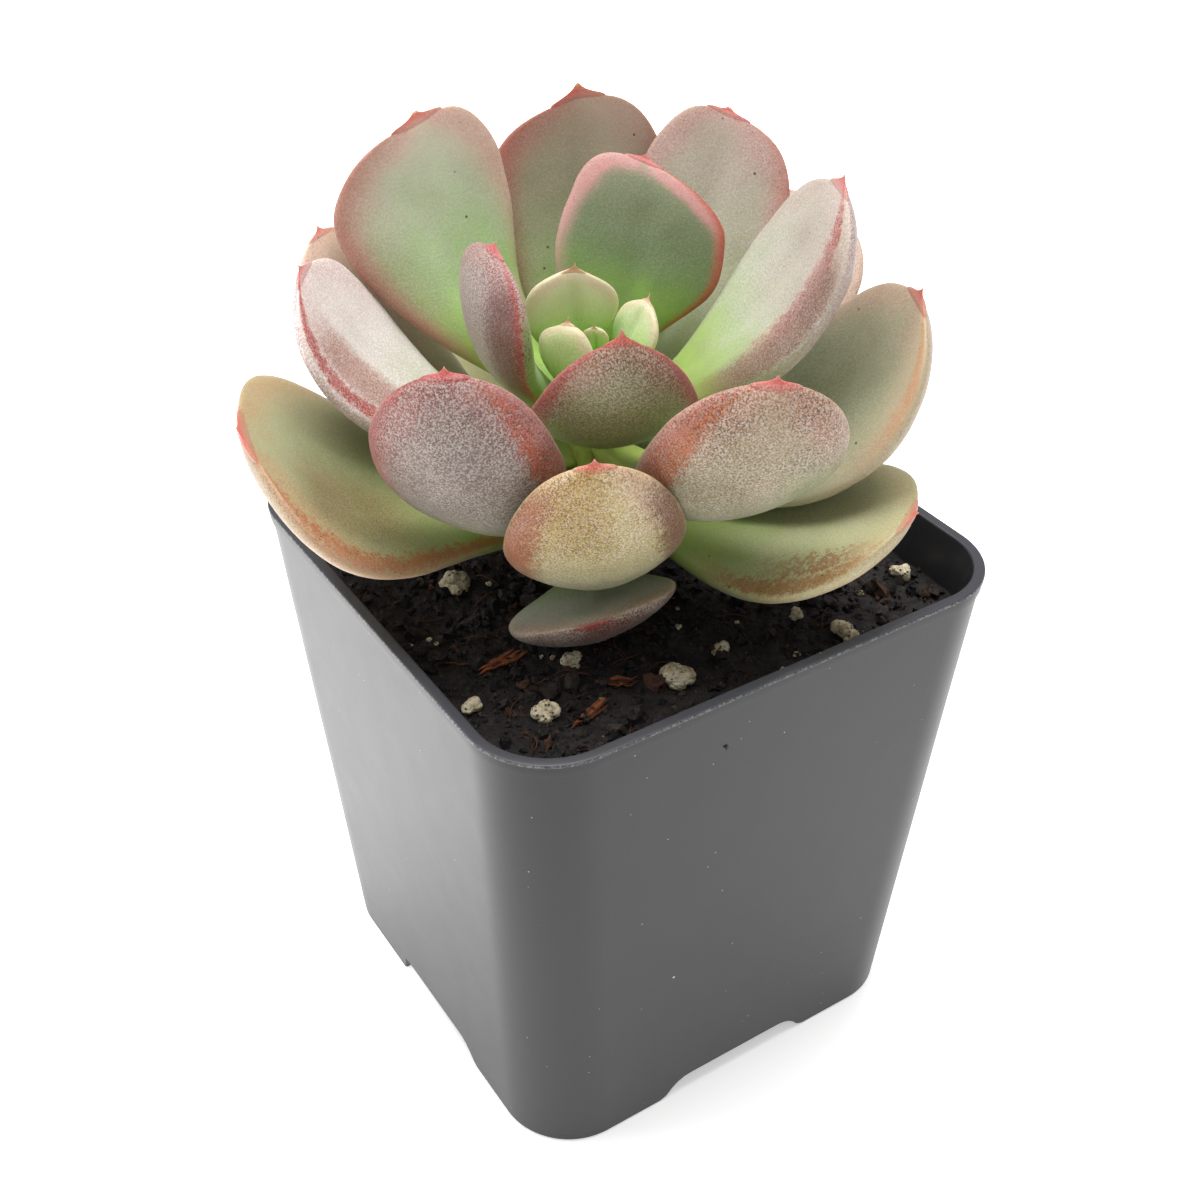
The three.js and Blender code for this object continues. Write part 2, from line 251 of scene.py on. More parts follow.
class Effects:
    """The node groups that several finishes share, each built once."""

    def __init__(self) -> None:
        """Builds every group."""
        self.mottle = self._mottle()
        self.stipple = self._stipple()
        self.bloom = self._bloom()
        self.streak = self._streak()
        self.specks = self._specks()
        self.pits = self._pits()

    @staticmethod
    def _mottle() -> bpy.types.NodeTree:
        """Soft lighter and darker clouds in a colour.

        Returns:
            The group.
        """
        desk = GroupDesk("Mottle", "Colour Point Scale Amount Shade", "Colour")
        colour, point, scale, amount, shade = desk.given
        share = desk.ease(desk.cloud(point, scale, 4, 0.55), 0.35, 0.7)
        return desk.close(desk.blend(desk.times(share, amount), colour, shade))

    @staticmethod
    def _stipple() -> bpy.types.NodeTree:
        """Fine dots of ink, denser where Amount is high.

        Returns:
            The group.
        """
        desk = GroupDesk("Stipple", "Colour Point Scale Amount Ink", "Colour Mask")
        colour, point, scale, amount, ink = desk.given
        dots = desk.cloud(point, scale, 2, 0.6)
        # The noise sits close to a half, so the threshold moves only a little with the amount.
        edge = desk.ease(amount, 0.0, 1.0, 0.62, 0.40)
        mask = desk.ease(desk.minus(dots, edge), 0.0, 0.16, 0.0, 0.8)
        mask = desk.times(mask, desk.ease(amount, 0.0, 0.35))
        return desk.close(desk.blend(mask, colour, ink), mask)

    @staticmethod
    def _bloom() -> bpy.types.NodeTree:
        """A powdery, slightly rubbed film that pales what is under it.

        Returns:
            The group.
        """
        desk = GroupDesk("Bloom", "Colour Point Amount Grain Powder", "Colour Mask")
        colour, point, amount, grain, powder = desk.given
        fine = desk.ease(desk.cloud(point, 5600, 3, 0.75), 0.44, 0.60)
        bare = desk.times(desk.minus(1.0, fine), grain)
        wear_and_highlight = desk.ease(desk.cloud(point, 260, 3, 0.5), 0.25, 0.7, 0.7, 1.0)
        film = desk.times(desk.minus(1.0, bare), wear_and_highlight)
        mask = desk.times(film, amount, clamp=True)
        return desk.close(desk.blend(mask, colour, powder), mask)

    @staticmethod
    def _streak() -> bpy.types.NodeTree:
        """Mask of a frayed stripe that runs along a leaf at one angle round it.

        Returns:
            The group.
        """
        desk = GroupDesk("Streak", "Point Along Across Rise Turn Width Start End Fray", "Mask")
        point, along, across, rise, turn, width, start, end, fray = desk.given
        fray = desk.times(desk.minus(desk.cloud(point, 1700, 4, 0.75), 0.5), fray)
        level = desk.times(across, desk.math("COSINE", turn))
        upright = desk.times(rise, desk.math("SINE", turn))
        near = desk.plus(desk.plus(level, upright), fray)
        edge = desk.math("COSINE", width)
        side = desk.ease(near, desk.minus(desk.times(edge, 1.3), 0.3), 1.0)
        place = desk.plus(along, desk.times(fray, 0.25))
        lead_in = desk.ease(place, desk.minus(start, 0.15), desk.plus(start, 0.15))
        lead_out = desk.ease(place, desk.minus(end, 0.08), desk.plus(end, 0.08), 1.0, 0.0)
        return desk.close(desk.times(side, desk.times(lead_in, lead_out)))

    @staticmethod
    def _specks() -> bpy.types.NodeTree:
        """Scattered round specks of one ink.

        Returns:
            The group.
        """
        desk = GroupDesk("Specks", "Colour Point Scale Radius Rarity Ink", "Colour Mask")
        colour, point, scale, radius, rarity, ink = desk.given
        cells = desk.node("TexVoronoi", {"Vector": point, "Scale": scale, "Randomness": 1.0}, feature="F1")
        chosen = desk.node("SeparateColor", {"Color": cells.outputs["Color"]}).outputs[0]
        picked = desk.math("GREATER_THAN", chosen, rarity)
        spot = desk.ease(cells.outputs["Distance"], desk.times(radius, 0.6), radius, 1.0, 0.0)
        mask = desk.times(spot, picked)
        return desk.close(desk.blend(mask, colour, ink), mask)

    @staticmethod
    def _pits() -> bpy.types.NodeTree:
        """Height of a pitted, pored or grained surface, from two sizes of noise.

        Returns:
            The group.
        """
        desk = GroupDesk("Pits", "Point Scale Coarse", "Height")
        point, scale, coarse = desk.given
        fine = desk.cloud(point, scale, 3, 0.6)
        broad = desk.cloud(point, desk.times(scale, 0.22), 3, 0.55)
        return desk.close(desk.plus(fine, desk.times(broad, coarse)))


class Coat(Desk):
    """A material in the making: a desk on its tree that keeps the colour laid on so far."""

    def __init__(self, name: str, effects: Effects) -> None:
        """Starts a bare material.

        Args:
            name: the material's name.
            effects: the shared node groups.
        """
        self.material = bpy.data.materials.new(name)
        self.material.use_nodes = True
        self.material.node_tree.nodes.clear()
        super().__init__(self.material.node_tree)
        self.effects = effects
        self.shader = self.node("BsdfPrincipled", {"IOR": GLASSY})
        self.node("OutputMaterial", {"Surface": self.shader.outputs[0]})
        self.point = self.node("TexCoord").outputs["Object"]
        self.colour: object = None

    def lay(self, share: object, code: str) -> None:
        """Lays a colour over what is there, by a share."""
        self.colour = self.blend(share, self.colour, tint(code))

    def through(self, tree: bpy.types.NodeTree, **inputs: object) -> bpy.types.NodeSocket | None:
        """Takes the colour through a group.

        Args:
            tree: the group.
            inputs: what feeds it besides the colour and the point.

        Returns:
            The socket of the group's mask, if it has one.
        """
        made = self.group(tree, colour=self.colour, point=self.point, **inputs)
        self.colour = made.outputs[0]
        return made.outputs[1] if len(made.outputs) > 1 else None

    def mottle(self, scale: float, amount: object, code: str) -> None:
        """Clouds the colour with a shade."""
        self.through(self.effects.mottle, scale=scale, amount=amount, shade=tint(code))

    def stipple(self, scale: float, amount: object, code: str) -> None:
        """Dots the colour finely with an ink."""
        self.through(self.effects.stipple, scale=scale, amount=amount, ink=tint(code))

    def specks(self, scale: float, radius: float, rarity: float, code: str) -> bpy.types.NodeSocket:
        """Scatters specks of an ink and returns their mask."""
        return self.through(self.effects.specks, scale=scale, radius=radius, rarity=rarity, ink=tint(code))

    def grain(self, scale: float, coarse: float) -> bpy.types.NodeSocket:
        """Height of a grained surface, from 0 to about 1."""
        return self.effect(self.effects.pits, point=self.point, scale=scale, coarse=coarse)

    def finish(self, roughness: object, height: object, depth: float, **more: object) -> bpy.types.Material:
        """Feeds the shader.

        Args:
            roughness: its roughness.
            height: what its bump follows, from 0 to about 1.
            depth: what a height of 1 stands for, in metres.
            more: other inputs of the shader, with _ for a space.

        Returns:
            The material.
        """
        bump = self.node("Bump", {"Height": height, "Distance": depth, "Strength": 1.0}).outputs[0]
        self.fill(self.shader, {"Base Color": self.colour, "Roughness": roughness, "Normal": bump})
        self.fill(self.shader, {name.replace("_", " "): value for name, value in more.items()})
        return self.material


# ------------------------------------------------------------------ mesh helpers
Faces = list[tuple[int, ...]]


def new_piece(name: str, points: np.ndarray, faces: Faces, smooth_to: float = 60.0) -> bpy.types.Object:
    """Makes a piece from points and faces, riding on the object's body.

    Args:
        name: the piece's name.
        points: n by 3, in metres.
        faces: vertex numbers of each face.
        smooth_to: edges sharper than this many degrees stay sharp.

    Returns:
        The piece.
    """
    mesh = bpy.data.meshes.new(name)
    mesh.from_pydata(np.asarray(points).tolist(), [], faces)
    mesh.shade_smooth()
    mesh.set_sharp_from_angle(angle=math.radians(smooth_to))
    piece = bpy.data.objects.new(name, mesh)
    bpy.context.scene.collection.objects.link(piece)
    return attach(piece, BODY)


def store(piece: bpy.types.Object, name: str, values: np.ndarray) -> None:
    """Stores one number per vertex on a piece's mesh."""
    layer = piece.data.attributes.new(name, "FLOAT", "POINT")
    layer.data.foreach_set("value", np.asarray(values, np.float32).ravel())


def dress(piece: bpy.types.Object, finish: bpy.types.Material, node: str = "") -> bpy.types.Object:
    """Gives a piece its material.

    Args:
        piece: the piece.
        finish: its material.
        node: the frame node that it takes the place of, if any.

    Returns:
        The piece.
    """
    piece.data.materials.append(finish)
    if node:
        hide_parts(node)
    return piece


def skin_faces(rings: int, around: int) -> Faces:
    """Faces of a closed skin over a pole, rings of points and a pole.

    Args:
        rings: how many rings there are.
        around: how many points each has, anticlockwise seen from the last pole.

    Returns:
        The faces, which look outwards.
    """
    grid = [[1 + k * around + j % around for j in range(around + 1)] for k in range(rings)]
    last = 1 + rings * around
    faces: Faces = [(0, grid[0][j + 1], grid[0][j]) for j in range(around)]
    for here, above in zip(grid, grid[1:]):
        faces += [(here[j], here[j + 1], above[j + 1], above[j]) for j in range(around)]
    return faces + [(last, grid[-1][j], grid[-1][j + 1]) for j in range(around)]


@dataclass
class Heap:
    """Many small bodies gathered into one piece."""

    points: list[Sequence[float]] = field(default_factory=list)
    faces: Faces = field(default_factory=list)
    tones: list[float] = field(default_factory=list)

    def add(self, points: np.ndarray, faces: Faces, tone: float = 0.5) -> None:
        """Adds one body.

        Args:
            points: its vertices.
            faces: vertex numbers of each of its faces.
            tone: how light it is, from 0 to 1.
        """
        self.faces += [tuple(v + len(self.points) for v in face) for face in faces]
        self.points.extend(points)
        self.tones += [tone] * len(points)

    def piece(self, name: str, smooth_to: float) -> bpy.types.Object:
        """Makes the piece.

        Args:
            name: its name.
            smooth_to: edges sharper than this many degrees stay sharp.

        Returns:
            The piece, with each vertex's tone stored on it.
        """
        made = new_piece(name, np.array(self.points), self.faces, smooth_to)
        store(made, "tone", np.array(self.tones))
        return made


def spline_weights(knots: int, places: np.ndarray, closed: bool) -> np.ndarray:
    """Weights of a cubic spline through evenly spaced knots.

    Args:
        knots: how many knots there are.
        places: where to read the spline, in knot numbers.
        closed: whether the last knot is followed by the first.

    Returns:
        One row of weights per place, one column per knot.
    """
    unit = np.eye(knots)
    bends = np.zeros((knots, knots))
    if closed:
        system = 4 * unit + np.roll(unit, 1, 1) + np.roll(unit, -1, 1)
        bends = np.linalg.solve(system, 6 * (np.roll(unit, 1, 0) - 2 * unit + np.roll(unit, -1, 0)))
    else:
        inner = 4 * np.eye(knots - 2) + np.eye(knots - 2, k=1) + np.eye(knots - 2, k=-1)
        bends[1:-1] = np.linalg.solve(inner, 6 * (unit[:-2] - 2 * unit[1:-1] + unit[2:]))
    low = np.floor(places).astype(int)
    if not closed:
        low = np.clip(low, 0, knots - 2)
    t = (places - low)[:, None]
    here, after = low % knots, (low + 1) % knots
    value = (1 - t) * unit[here] + t * unit[after]
    curve = ((1 - t) ** 3 - (1 - t)) * bends[here] + (t**3 - t) * bends[after]
    return value + curve / 6


def wander(point: Sequence[float], size: float, seed: float) -> float:
    """Smooth noise from about -1 to 1 with features of that size in metres."""
    return noise.noise(Vector(point) / size + Vector((seed, 1.7 * seed, -seed)))


def ease_between(value: np.ndarray, low: float, high: float) -> np.ndarray:
    """Smooth step of an array from 0 at low to 1 at high."""
    t = np.clip((value - low) / (high - low), 0, 1)
    return t * t * (3 - 2 * t)


# ------------------------------------------------------------------ leaves
DOT_SCALE = 6800.0  # the finest stipple, in noise features to a metre
FACE_POWDER = 0.85  # powder on the upper face, as a share of that on the back
RUBBED_POWDER = 0.4  # powder left where a streak shows
FLESH = {
    "Subsurface_Weight": 0.14,
    "Subsurface_Radius": (1.0, 0.8, 0.35),
    "Subsurface_Scale": 1.6 * MM,
    "Specular_IOR_Level": 0.42,
    "Sheen_Weight": 0.12,
    "Sheen_Roughness": 0.45,
}


@dataclass(frozen=True)
class Streak:
    """A stripe of colour along a leaf."""

    turn: float  # degrees round the leaf: 0 one margin, 90 the upper face, 180 the other margin, 270 the keel
    width: float  # degrees to each side
    start: float = 0.4
    end: float = 1.05
    ink: str = "C4563F"
    strength: float = 0.7
    fray: float = 0.08

    def mask(self, coat: Coat, along: object, across: object, rise: object) -> bpy.types.NodeSocket:
        """Works out where the stripe shows.

        Args:
            coat: the leaf's coat.
            along: how far along the leaf a place is.
            across: how far to the side, from -1 to 1.
            rise: how far to the upper face, from -1 to 1.

        Returns:
            The mask's socket.
        """
        turn, width = math.radians(self.turn), math.radians(self.width)
        place = {"point": coat.point, "along": along, "across": across, "rise": rise}
        stripe = {"turn": turn, "width": width, "start": self.start, "end": self.end, "fray": self.fray}
        return coat.times(coat.effect(coat.effects.streak, **place, **stripe), self.strength)


@dataclass(frozen=True)
class LeafFinish:
    """Flesh, blush, stipple and powder of one leaf."""

    foot: str = "A9BC5E"
    foot_reach: float = 0.72  # share of the leaf over which the foot's colour fades out
    face: str = "86A072"
    belly: str = "9A9C80"
    end: str = "A58A7C"
    end_share: float = 0.6
    rim: str = "C2605A"
    rim_share: float = 0.75
    rim_width: float = 0.36
    dots: str = "6E4A42"
    dots_share: float = 0.45
    powder: str = "C9C4C2"
    powder_share: float = 0.5
    shade: str = "6E7458"
    clouds: float = 0.16
    freckles: float = 0.0
    tip: str = "C04A4E"
    streaks: tuple[Streak, ...] = ()

    def material(self, name: str, effects: Effects) -> bpy.types.Material:
        """Builds the leaf's material.

        Args:
            name: the material's name.
            effects: the shared node groups.

        Returns:
            The material.
        """
        coat = Coat(name, effects)
        along, across, rise = (coat.value_of(n) for n in ("along", "across", "rise"))
        drift = coat.minus(coat.cloud(coat.point, 260, 2, 0.5), 0.5)
        place = coat.plus(along, coat.times(drift, 0.2))
        under = coat.ease(coat.plus(rise, coat.times(drift, 0.6)), 0.2, -0.4)
        coat.colour = tint(self.face)
        coat.lay(under, self.belly)
        coat.lay(coat.ease(place, self.foot_reach, 0.04), self.foot)
        coat.lay(coat.times(coat.ease(place, 0.35, 1.0), self.end_share), self.end)
        coat.mottle(520.0, self.clouds, self.shade)
        rim = self._rim(coat, place, across)
        coat.lay(rim, self.rim)
        rubbed: object = 0.0
        for streak in self.streaks:
            mask = streak.mask(coat, along, across, rise)
            coat.lay(mask, streak.ink)
            rubbed = coat.math("MAXIMUM", rubbed, mask)
        away = coat.ease(place, 0.1, 0.6)
        patches = coat.ease(coat.cloud(coat.point, 230, 3, 0.6), 0.2, 0.6, 0.5, 1.0)
        share = coat.plus(coat.times(under, 0.75), coat.math("MAXIMUM", rim, rubbed), clamp=True)
        share = coat.times(coat.times(share, away), patches)
        coat.stipple(DOT_SCALE, coat.times(share, self.dots_share), self.dots)
        film = coat.ease(under, 0.0, 1.0, FACE_POWDER * self.powder_share, self.powder_share)
        film = coat.times(coat.times(away, film), coat.ease(rubbed, 0.0, 1.0, 1.0, RUBBED_POWDER))
        grain = coat.plus(coat.times(share, 0.4), 0.6, clamp=True)
        powdery = coat.through(effects.bloom, amount=film, grain=grain, powder=tint(self.powder))
        if self.freckles:
            coat.specks(900.0, 0.16, 1 - self.freckles, "5A4A38")
        coat.lay(coat.ease(along, 0.984, 0.999, 0.0, 0.75), self.tip)
        roughness = coat.ease(powdery, 0.0, 0.6, 0.42, 0.6)
        return coat.finish(roughness, coat.grain(3600.0, 0.8), 0.035 * MM, **FLESH)

    def _rim(self, desk: Desk, place: object, across: object) -> bpy.types.NodeSocket:
        """Mask of the coloured margin, which fades in towards the tip and goes round it.

        Args:
            desk: the desk of the material's tree.
            place: how far along the leaf.
            across: how far to its side, from -1 to 1.

        Returns:
            The mask's socket.
        """
        ahead = desk.math("DIVIDE", desk.minus(place, 0.5), 0.5, clamp=True)
        out = desk.plus(desk.times(across, across), desk.times(ahead, ahead))
        margin = desk.math("POWER", desk.ease(out, 1.0 - 1.6 * self.rim_width, 1.12), 1.5)
        return desk.times(desk.times(margin, desk.ease(place, 0.2, 0.7)), self.rim_share)


@dataclass(frozen=True)
class LeafShape:
    """How a leaf's skin departs from its plain frame solid. Lengths in metres."""

    cusp: float = 0.2 * MM  # how far the end draws out to the point
    cusp_reach: float = 0.9  # how wide the drawn-out part is, as a share of the last ring
    point: float = 0.55 * MM  # the hard little point itself
    groove: float = 0.28 * MM  # hollow along the middle of the upper face
    waves: float = 0.16 * MM
    lobe: float = 0.0  # how far one shoulder stands ahead of the other
    lobe_turn: float = 180.0  # degrees round the leaf of that shoulder
    peak: float = 0.0  # how far the middle of the end is drawn out into a broad peak
    peak_reach: float = 0.4  # half width of that peak, as a share of the leaf's half width
    taper: float = 0.0  # share by which the end is narrower than the frame solid
    swell: float = 0.0  # share by which the middle is wider
    lean: float = 0.0  # how far the middle lies towards the margin at turn 0
    reach: float = 0.0  # how far the end stands beyond the frame solid's


@dataclass
class Leaf:
    """One fleshy leaf, skinned smoothly through the rings of its frame solid."""

    name: str
    finish: LeafFinish = field(default_factory=LeafFinish)
    shape: LeafShape = field(default_factory=LeafShape)
    slot: str = "leaf_outer"
    rings: int = 12
    sides: int = 12
    steps_along: int = 66
    steps_round: int = 72
    steps_end: int = 14
    root_length: float = 1.8 * MM

    @property
    def node(self) -> str:
        """The frame node that the leaf stands for."""
        return "leaf_" + self.name

    def cage(self) -> tuple[np.ndarray, np.ndarray]:
        """Recovers the rings of the frame solid.

        Returns:
            Ring points, rings by sides by 3, from one margin on to the upper face, and the tip.
        """
        mesh = self.source.data
        corner: dict[tuple[int, ...], int] = {}
        places: list[Vector] = []
        joined = []
        for vertex in mesh.vertices:
            key = tuple(round(c / (0.002 * MM)) for c in vertex.co)
            if key not in corner:
                corner[key] = len(places)
                places.append(vertex.co.copy())
            joined.append(corner[key])
        beyond: dict[tuple[int, int], int] = {}
        for face in mesh.polygons:
            a, b, c = (joined[v] for v in face.vertices)
            beyond.update({(a, b): c, (b, c): a, (c, a): b})
        fans: dict[int, int] = {}
        for a, _ in beyond:
            fans[a] = fans.get(a, 0) + 1
        poles = sorted((v for v, count in fans.items() if count == self.sides), key=lambda v: places[v].z)
        foot, tip = poles[0], poles[-1]
        step = next(b for a, b in beyond if a == foot)
        ring = [step]
        while len(ring) < self.sides:
            ring.append(beyond[(foot, ring[-1])])
        ring.reverse()
        rings = [ring]
        while len(rings) < self.rings:
            ring = rings[-1]
            ahead = [beyond[(ring[j], ring[(j + 1) % self.sides])] for j in range(self.sides)]
            rings.append(ahead[-1:] + ahead[:-1])
        grid = np.array([[places[v] for v in ring] for ring in rings], float)
        return np.roll(grid, -self._margin(grid), 1), np.array(places[tip], float)

    def _margin(self, grid: np.ndarray) -> int:
        """Finds which side vertex lies on the margin a quarter turn before the upper face.

        Args:
            grid: ring points, rings by sides by 3.

        Returns:
            The vertex's number in its ring.
        """
        half, quarter = self.sides // 2, self.sides // 4
        middle = grid[self.rings * 2 // 3]
        start = max(range(half), key=lambda j: np.linalg.norm(middle[j] - middle[j + half]))
        centre = (middle[start] + middle[start + half]) / 2
        up = np.linalg.norm(middle[(start + quarter) % self.sides] - centre)
        down = np.linalg.norm(middle[(start - quarter) % self.sides] - centre)
        return start if up < down else start + half

    @property
    def source(self) -> bpy.types.Object:
        """The frame solid's object."""
        return bpy.data.objects[self.node]

    def skin(self) -> tuple[np.ndarray, np.ndarray, np.ndarray]:
        """Works out the smooth skin.

        Returns:
            Points with a pole at each end, how far along each is, and its angle round the leaf.
        """
        cage, tip = self.cage()
        centres = cage.mean(1)
        back = centres[0] - centres[1]
        back *= self.root_length / np.linalg.norm(back)
        root = cage[:1] + back + (centres[0] - cage[:1]) * 0.25
        cage = np.concatenate([root, cage])
        station = 0.99 * np.sin(np.arange(self.rings) / (self.rings - 1) * np.pi / 2)
        station = np.concatenate([[-0.05], station])
        places = np.linspace(0, self.rings, self.steps_along)
        turns = np.arange(self.steps_round) * self.sides / self.steps_round
        lengthwise = spline_weights(self.rings + 1, places, closed=False)
        crosswise = spline_weights(self.sides, turns, closed=True)
        body = np.einsum("pk,kjc,tj->ptc", lengthwise, cage, crosswise)
        along = lengthwise @ station
        body, along, last = self._close_end(body, along, tip)
        body, last = self._reshape(body, along, last)
        angle = np.tile(turns * 2 * np.pi / self.sides, len(body))
        body = self._model(body, along)
        points = np.concatenate([body[0].mean(0)[None], body.reshape(-1, 3), last[None]])
        along = np.concatenate([[along[0]], np.repeat(along, self.steps_round), [1.0]])
        return points, along, np.concatenate([[0.0], angle, [0.0]])

    def _close_end(
        self, body: np.ndarray, along: np.ndarray, tip: np.ndarray
    ) -> tuple[np.ndarray, np.ndarray, np.ndarray]:
        """Draws the last ring in to a small hard point.

        Args:
            body: rings of points up to the last frame ring.
            along: how far along each ring is.
            tip: the frame solid's tip.

        Returns:
            The rings with the end added, how far along each is, and the leaf's last point.
        """
        last = body[-1]
        centre = last.mean(0)
        ahead = (tip - centre) / np.linalg.norm(tip - centre)
        level = last[0] - last[self.steps_round // 2]
        half = np.linalg.norm(level) / 2
        shares = np.cos(np.linspace(0, np.pi / 2, self.steps_end + 1))[1:-1] ** 1.15
        blunt = 0.22 * half
        end = []
        for share in shares:
            lift = blunt * math.sqrt(1 - share**2) + self._drawn(share)
            end.append(centre + (last - centre) * share + ahead * lift)
        point = centre + ahead * (blunt + self._drawn(0.0))
        more = along[-1] + (1 - along[-1]) * (1 - shares)
        return np.concatenate([body, end]), np.concatenate([along, more]), point

    def _reshape(
        self, body: np.ndarray, along: np.ndarray, last: np.ndarray
    ) -> tuple[np.ndarray, np.ndarray]:
        """Tapers, swells and leans the outline, draws out the peak and moves one shoulder ahead.

        Args:
            body: rings of points.
            along: how far along each is.
            last: the leaf's last point.

        Returns:
            The rings and the last point, moved.
        """
        shape = self.shape
        ahead = last - body[-self.steps_end * 2].mean(0)
        ahead /= np.linalg.norm(ahead)
        left, right = body[:, 0], body[:, self.steps_round // 2]
        width = np.linalg.norm(left - right, axis=1)
        side = (left - right) / width[:, None]
        centre = (left + right) / 2
        reach = np.einsum("ktc,kc->kt", body - centre[:, None], side)
        wider = shape.swell * np.exp(-(((along - 0.5) / 0.2) ** 2))
        change = wider - shape.taper * ease_between(along, 0.55, 0.97)
        body = body + side[:, None] * (reach * change[:, None])[:, :, None]
        aside = shape.lean * ease_between(along, 0.1, 0.5) * ease_between(-along, -0.99, -0.75)
        body += (side * aside[:, None])[:, None]
        lateral = reach / (0.5 * width.max())
        near_end = ease_between(along, 0.55, 0.96)[:, None]
        push = shape.reach * near_end + shape.peak * near_end * np.exp(-((lateral / shape.peak_reach) ** 2))
        sign = math.cos(math.radians(shape.lobe_turn))
        push += shape.lobe * near_end * np.exp(-(((lateral * sign - 0.5) / 0.42) ** 2))
        return body + push[:, :, None] * ahead, last + ahead * (shape.peak + shape.reach)

    def _drawn(self, share: float) -> float:
        """Works out how far the cusp and the point stand out.

        Args:
            share: the ring's size as a share of the last frame ring's.

        Returns:
            The distance in metres.
        """
        reach = self.shape.cusp_reach
        wide = self.shape.cusp * (math.exp(-2 * share / reach) - math.exp(-2 / reach))
        fine = self.shape.point * max(0.0, math.exp(-share / 0.13) - math.exp(-1 / 0.13))
        return wide + fine

    def _model(self, body: np.ndarray, along: np.ndarray) -> np.ndarray:
        """Presses the groove into the upper face and gives the skin its slow waves.

        Args:
            body: rings of points.
            along: how far along each is.

        Returns:
            The rings, moved.
        """
        down_leaf = np.gradient(body, axis=0)
        round_leaf = np.roll(body, -1, 1) - np.roll(body, 1, 1)
        out = np.cross(round_leaf, down_leaf)
        out /= np.maximum(np.linalg.norm(out, axis=2, keepdims=True), 1e-12)
        turns = np.arange(self.steps_round) / self.steps_round * 2 * np.pi
        across = np.cos(turns)[None, :]
        upper = ease_between(np.sin(turns), 0.1, 0.8)[None, :]
        strong = (ease_between(along, 0.1, 0.5) * ease_between(-along, -0.97, -0.7))[:, None]
        move = -self.shape.groove * np.exp(-((across / 0.16) ** 2)) * upper * strong
        seed = sum(map(ord, self.name)) * 0.37
        fade = ease_between(-along, -1.0, -0.8)
        for k in range(len(body)):
            if fade[k] <= 0:
                continue
            for j in range(self.steps_round):
                place = body[k, j]
                wave = wander(place, 7 * MM, seed) + 0.35 * wander(place, 2.6 * MM, seed + 5)
                move[k, j] += self.shape.waves * wave * fade[k]
        return body + out * move[:, :, None]

    def build(self, effects: Effects) -> bpy.types.Object:
        """Makes the leaf and dresses it.

        Args:
            effects: the shared node groups.

        Returns:
            The piece.
        """
        points, along, angle = self.skin()
        rings = (len(points) - 2) // self.steps_round
        piece = new_piece("succulent_" + self.node, points, skin_faces(rings, self.steps_round), 180)
        rise = np.sin(angle)
        rise[[0, -1]] = 0.0
        for name, values in (("along", along), ("across", np.cos(angle)), ("rise", rise)):
            store(piece, name, values)
        return dress(piece, self.finish.material(self.node + "_flesh", effects), self.node)


# ------------------------------------------------------------------ stem
@dataclass
class Stem:
    """The short stem that carries the leaves."""

    node: str = "stem"
    around: int = 48
    levels: int = 60
    swell: float = 0.25 * MM

    def build(self, effects: Effects) -> bpy.types.Object:
        """Makes the knobbly stem inside the frame solid's box and dresses it.

        Args:
            effects: the shared node groups.

        Returns:
            The piece.
        """
        low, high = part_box(self.node)
        centre = (low + high) / 2
        radius = (high.x - low.x) / 2
        points = [Vector((centre.x, centre.y, low.z))]
        for k in range(self.levels):
            share = (k + 0.5) / self.levels
            z = low.z + share * (high.z - low.z)
            body = min(1.0, 0.45 + 3.2 * share) * min(1.0, (3.4 * (1 - share)) ** 0.6)
            for j in range(self.around):
                a = 2 * math.pi * j / self.around
                place = Vector((math.cos(a) * radius, math.sin(a) * radius, z))
                scar = 0.5 + 0.5 * math.sin(5 * a + z / (0.62 * MM))
                r = radius * body - self.swell * (scar + 0.8 * wander(place, 2 * MM, 3.0) ** 2)
                points.append(Vector((centre.x + r * math.cos(a), centre.y + r * math.sin(a), z)))
        points.append(Vector((centre.x, centre.y, high.z)))
        piece = new_piece("succulent_stem", np.array(points), skin_faces(self.levels, self.around), 180)
        return dress(piece, self.finish(effects, low.z, high.z), self.node)

    def finish(self, effects: Effects, foot: float, top: float) -> bpy.types.Material:
        """Builds the stem's skin: brown and dry by the soil, yellow-green among the leaves.

        Args:
            effects: the shared node groups.
            foot: height of the stem's foot.
            top: height of its top.

        Returns:
            The material.
        """
        coat = Coat("stem_skin", effects)
        height = coat.plus(coat.height_of(coat.point), coat.times(coat.cloud(coat.point, 500, 3), 4 * MM))
        coat.colour = tint("6E5636")
        coat.lay(coat.ease(height, foot + 0.35 * (top - foot), foot + 0.62 * (top - foot)), "94A648")
        coat.mottle(900.0, 0.6, "7A6A3A")
        coat.specks(700.0, 0.25, 0.7, "5A3A20")
        return coat.finish(0.7, coat.grain(2600.0, 1.2), 0.12 * MM)


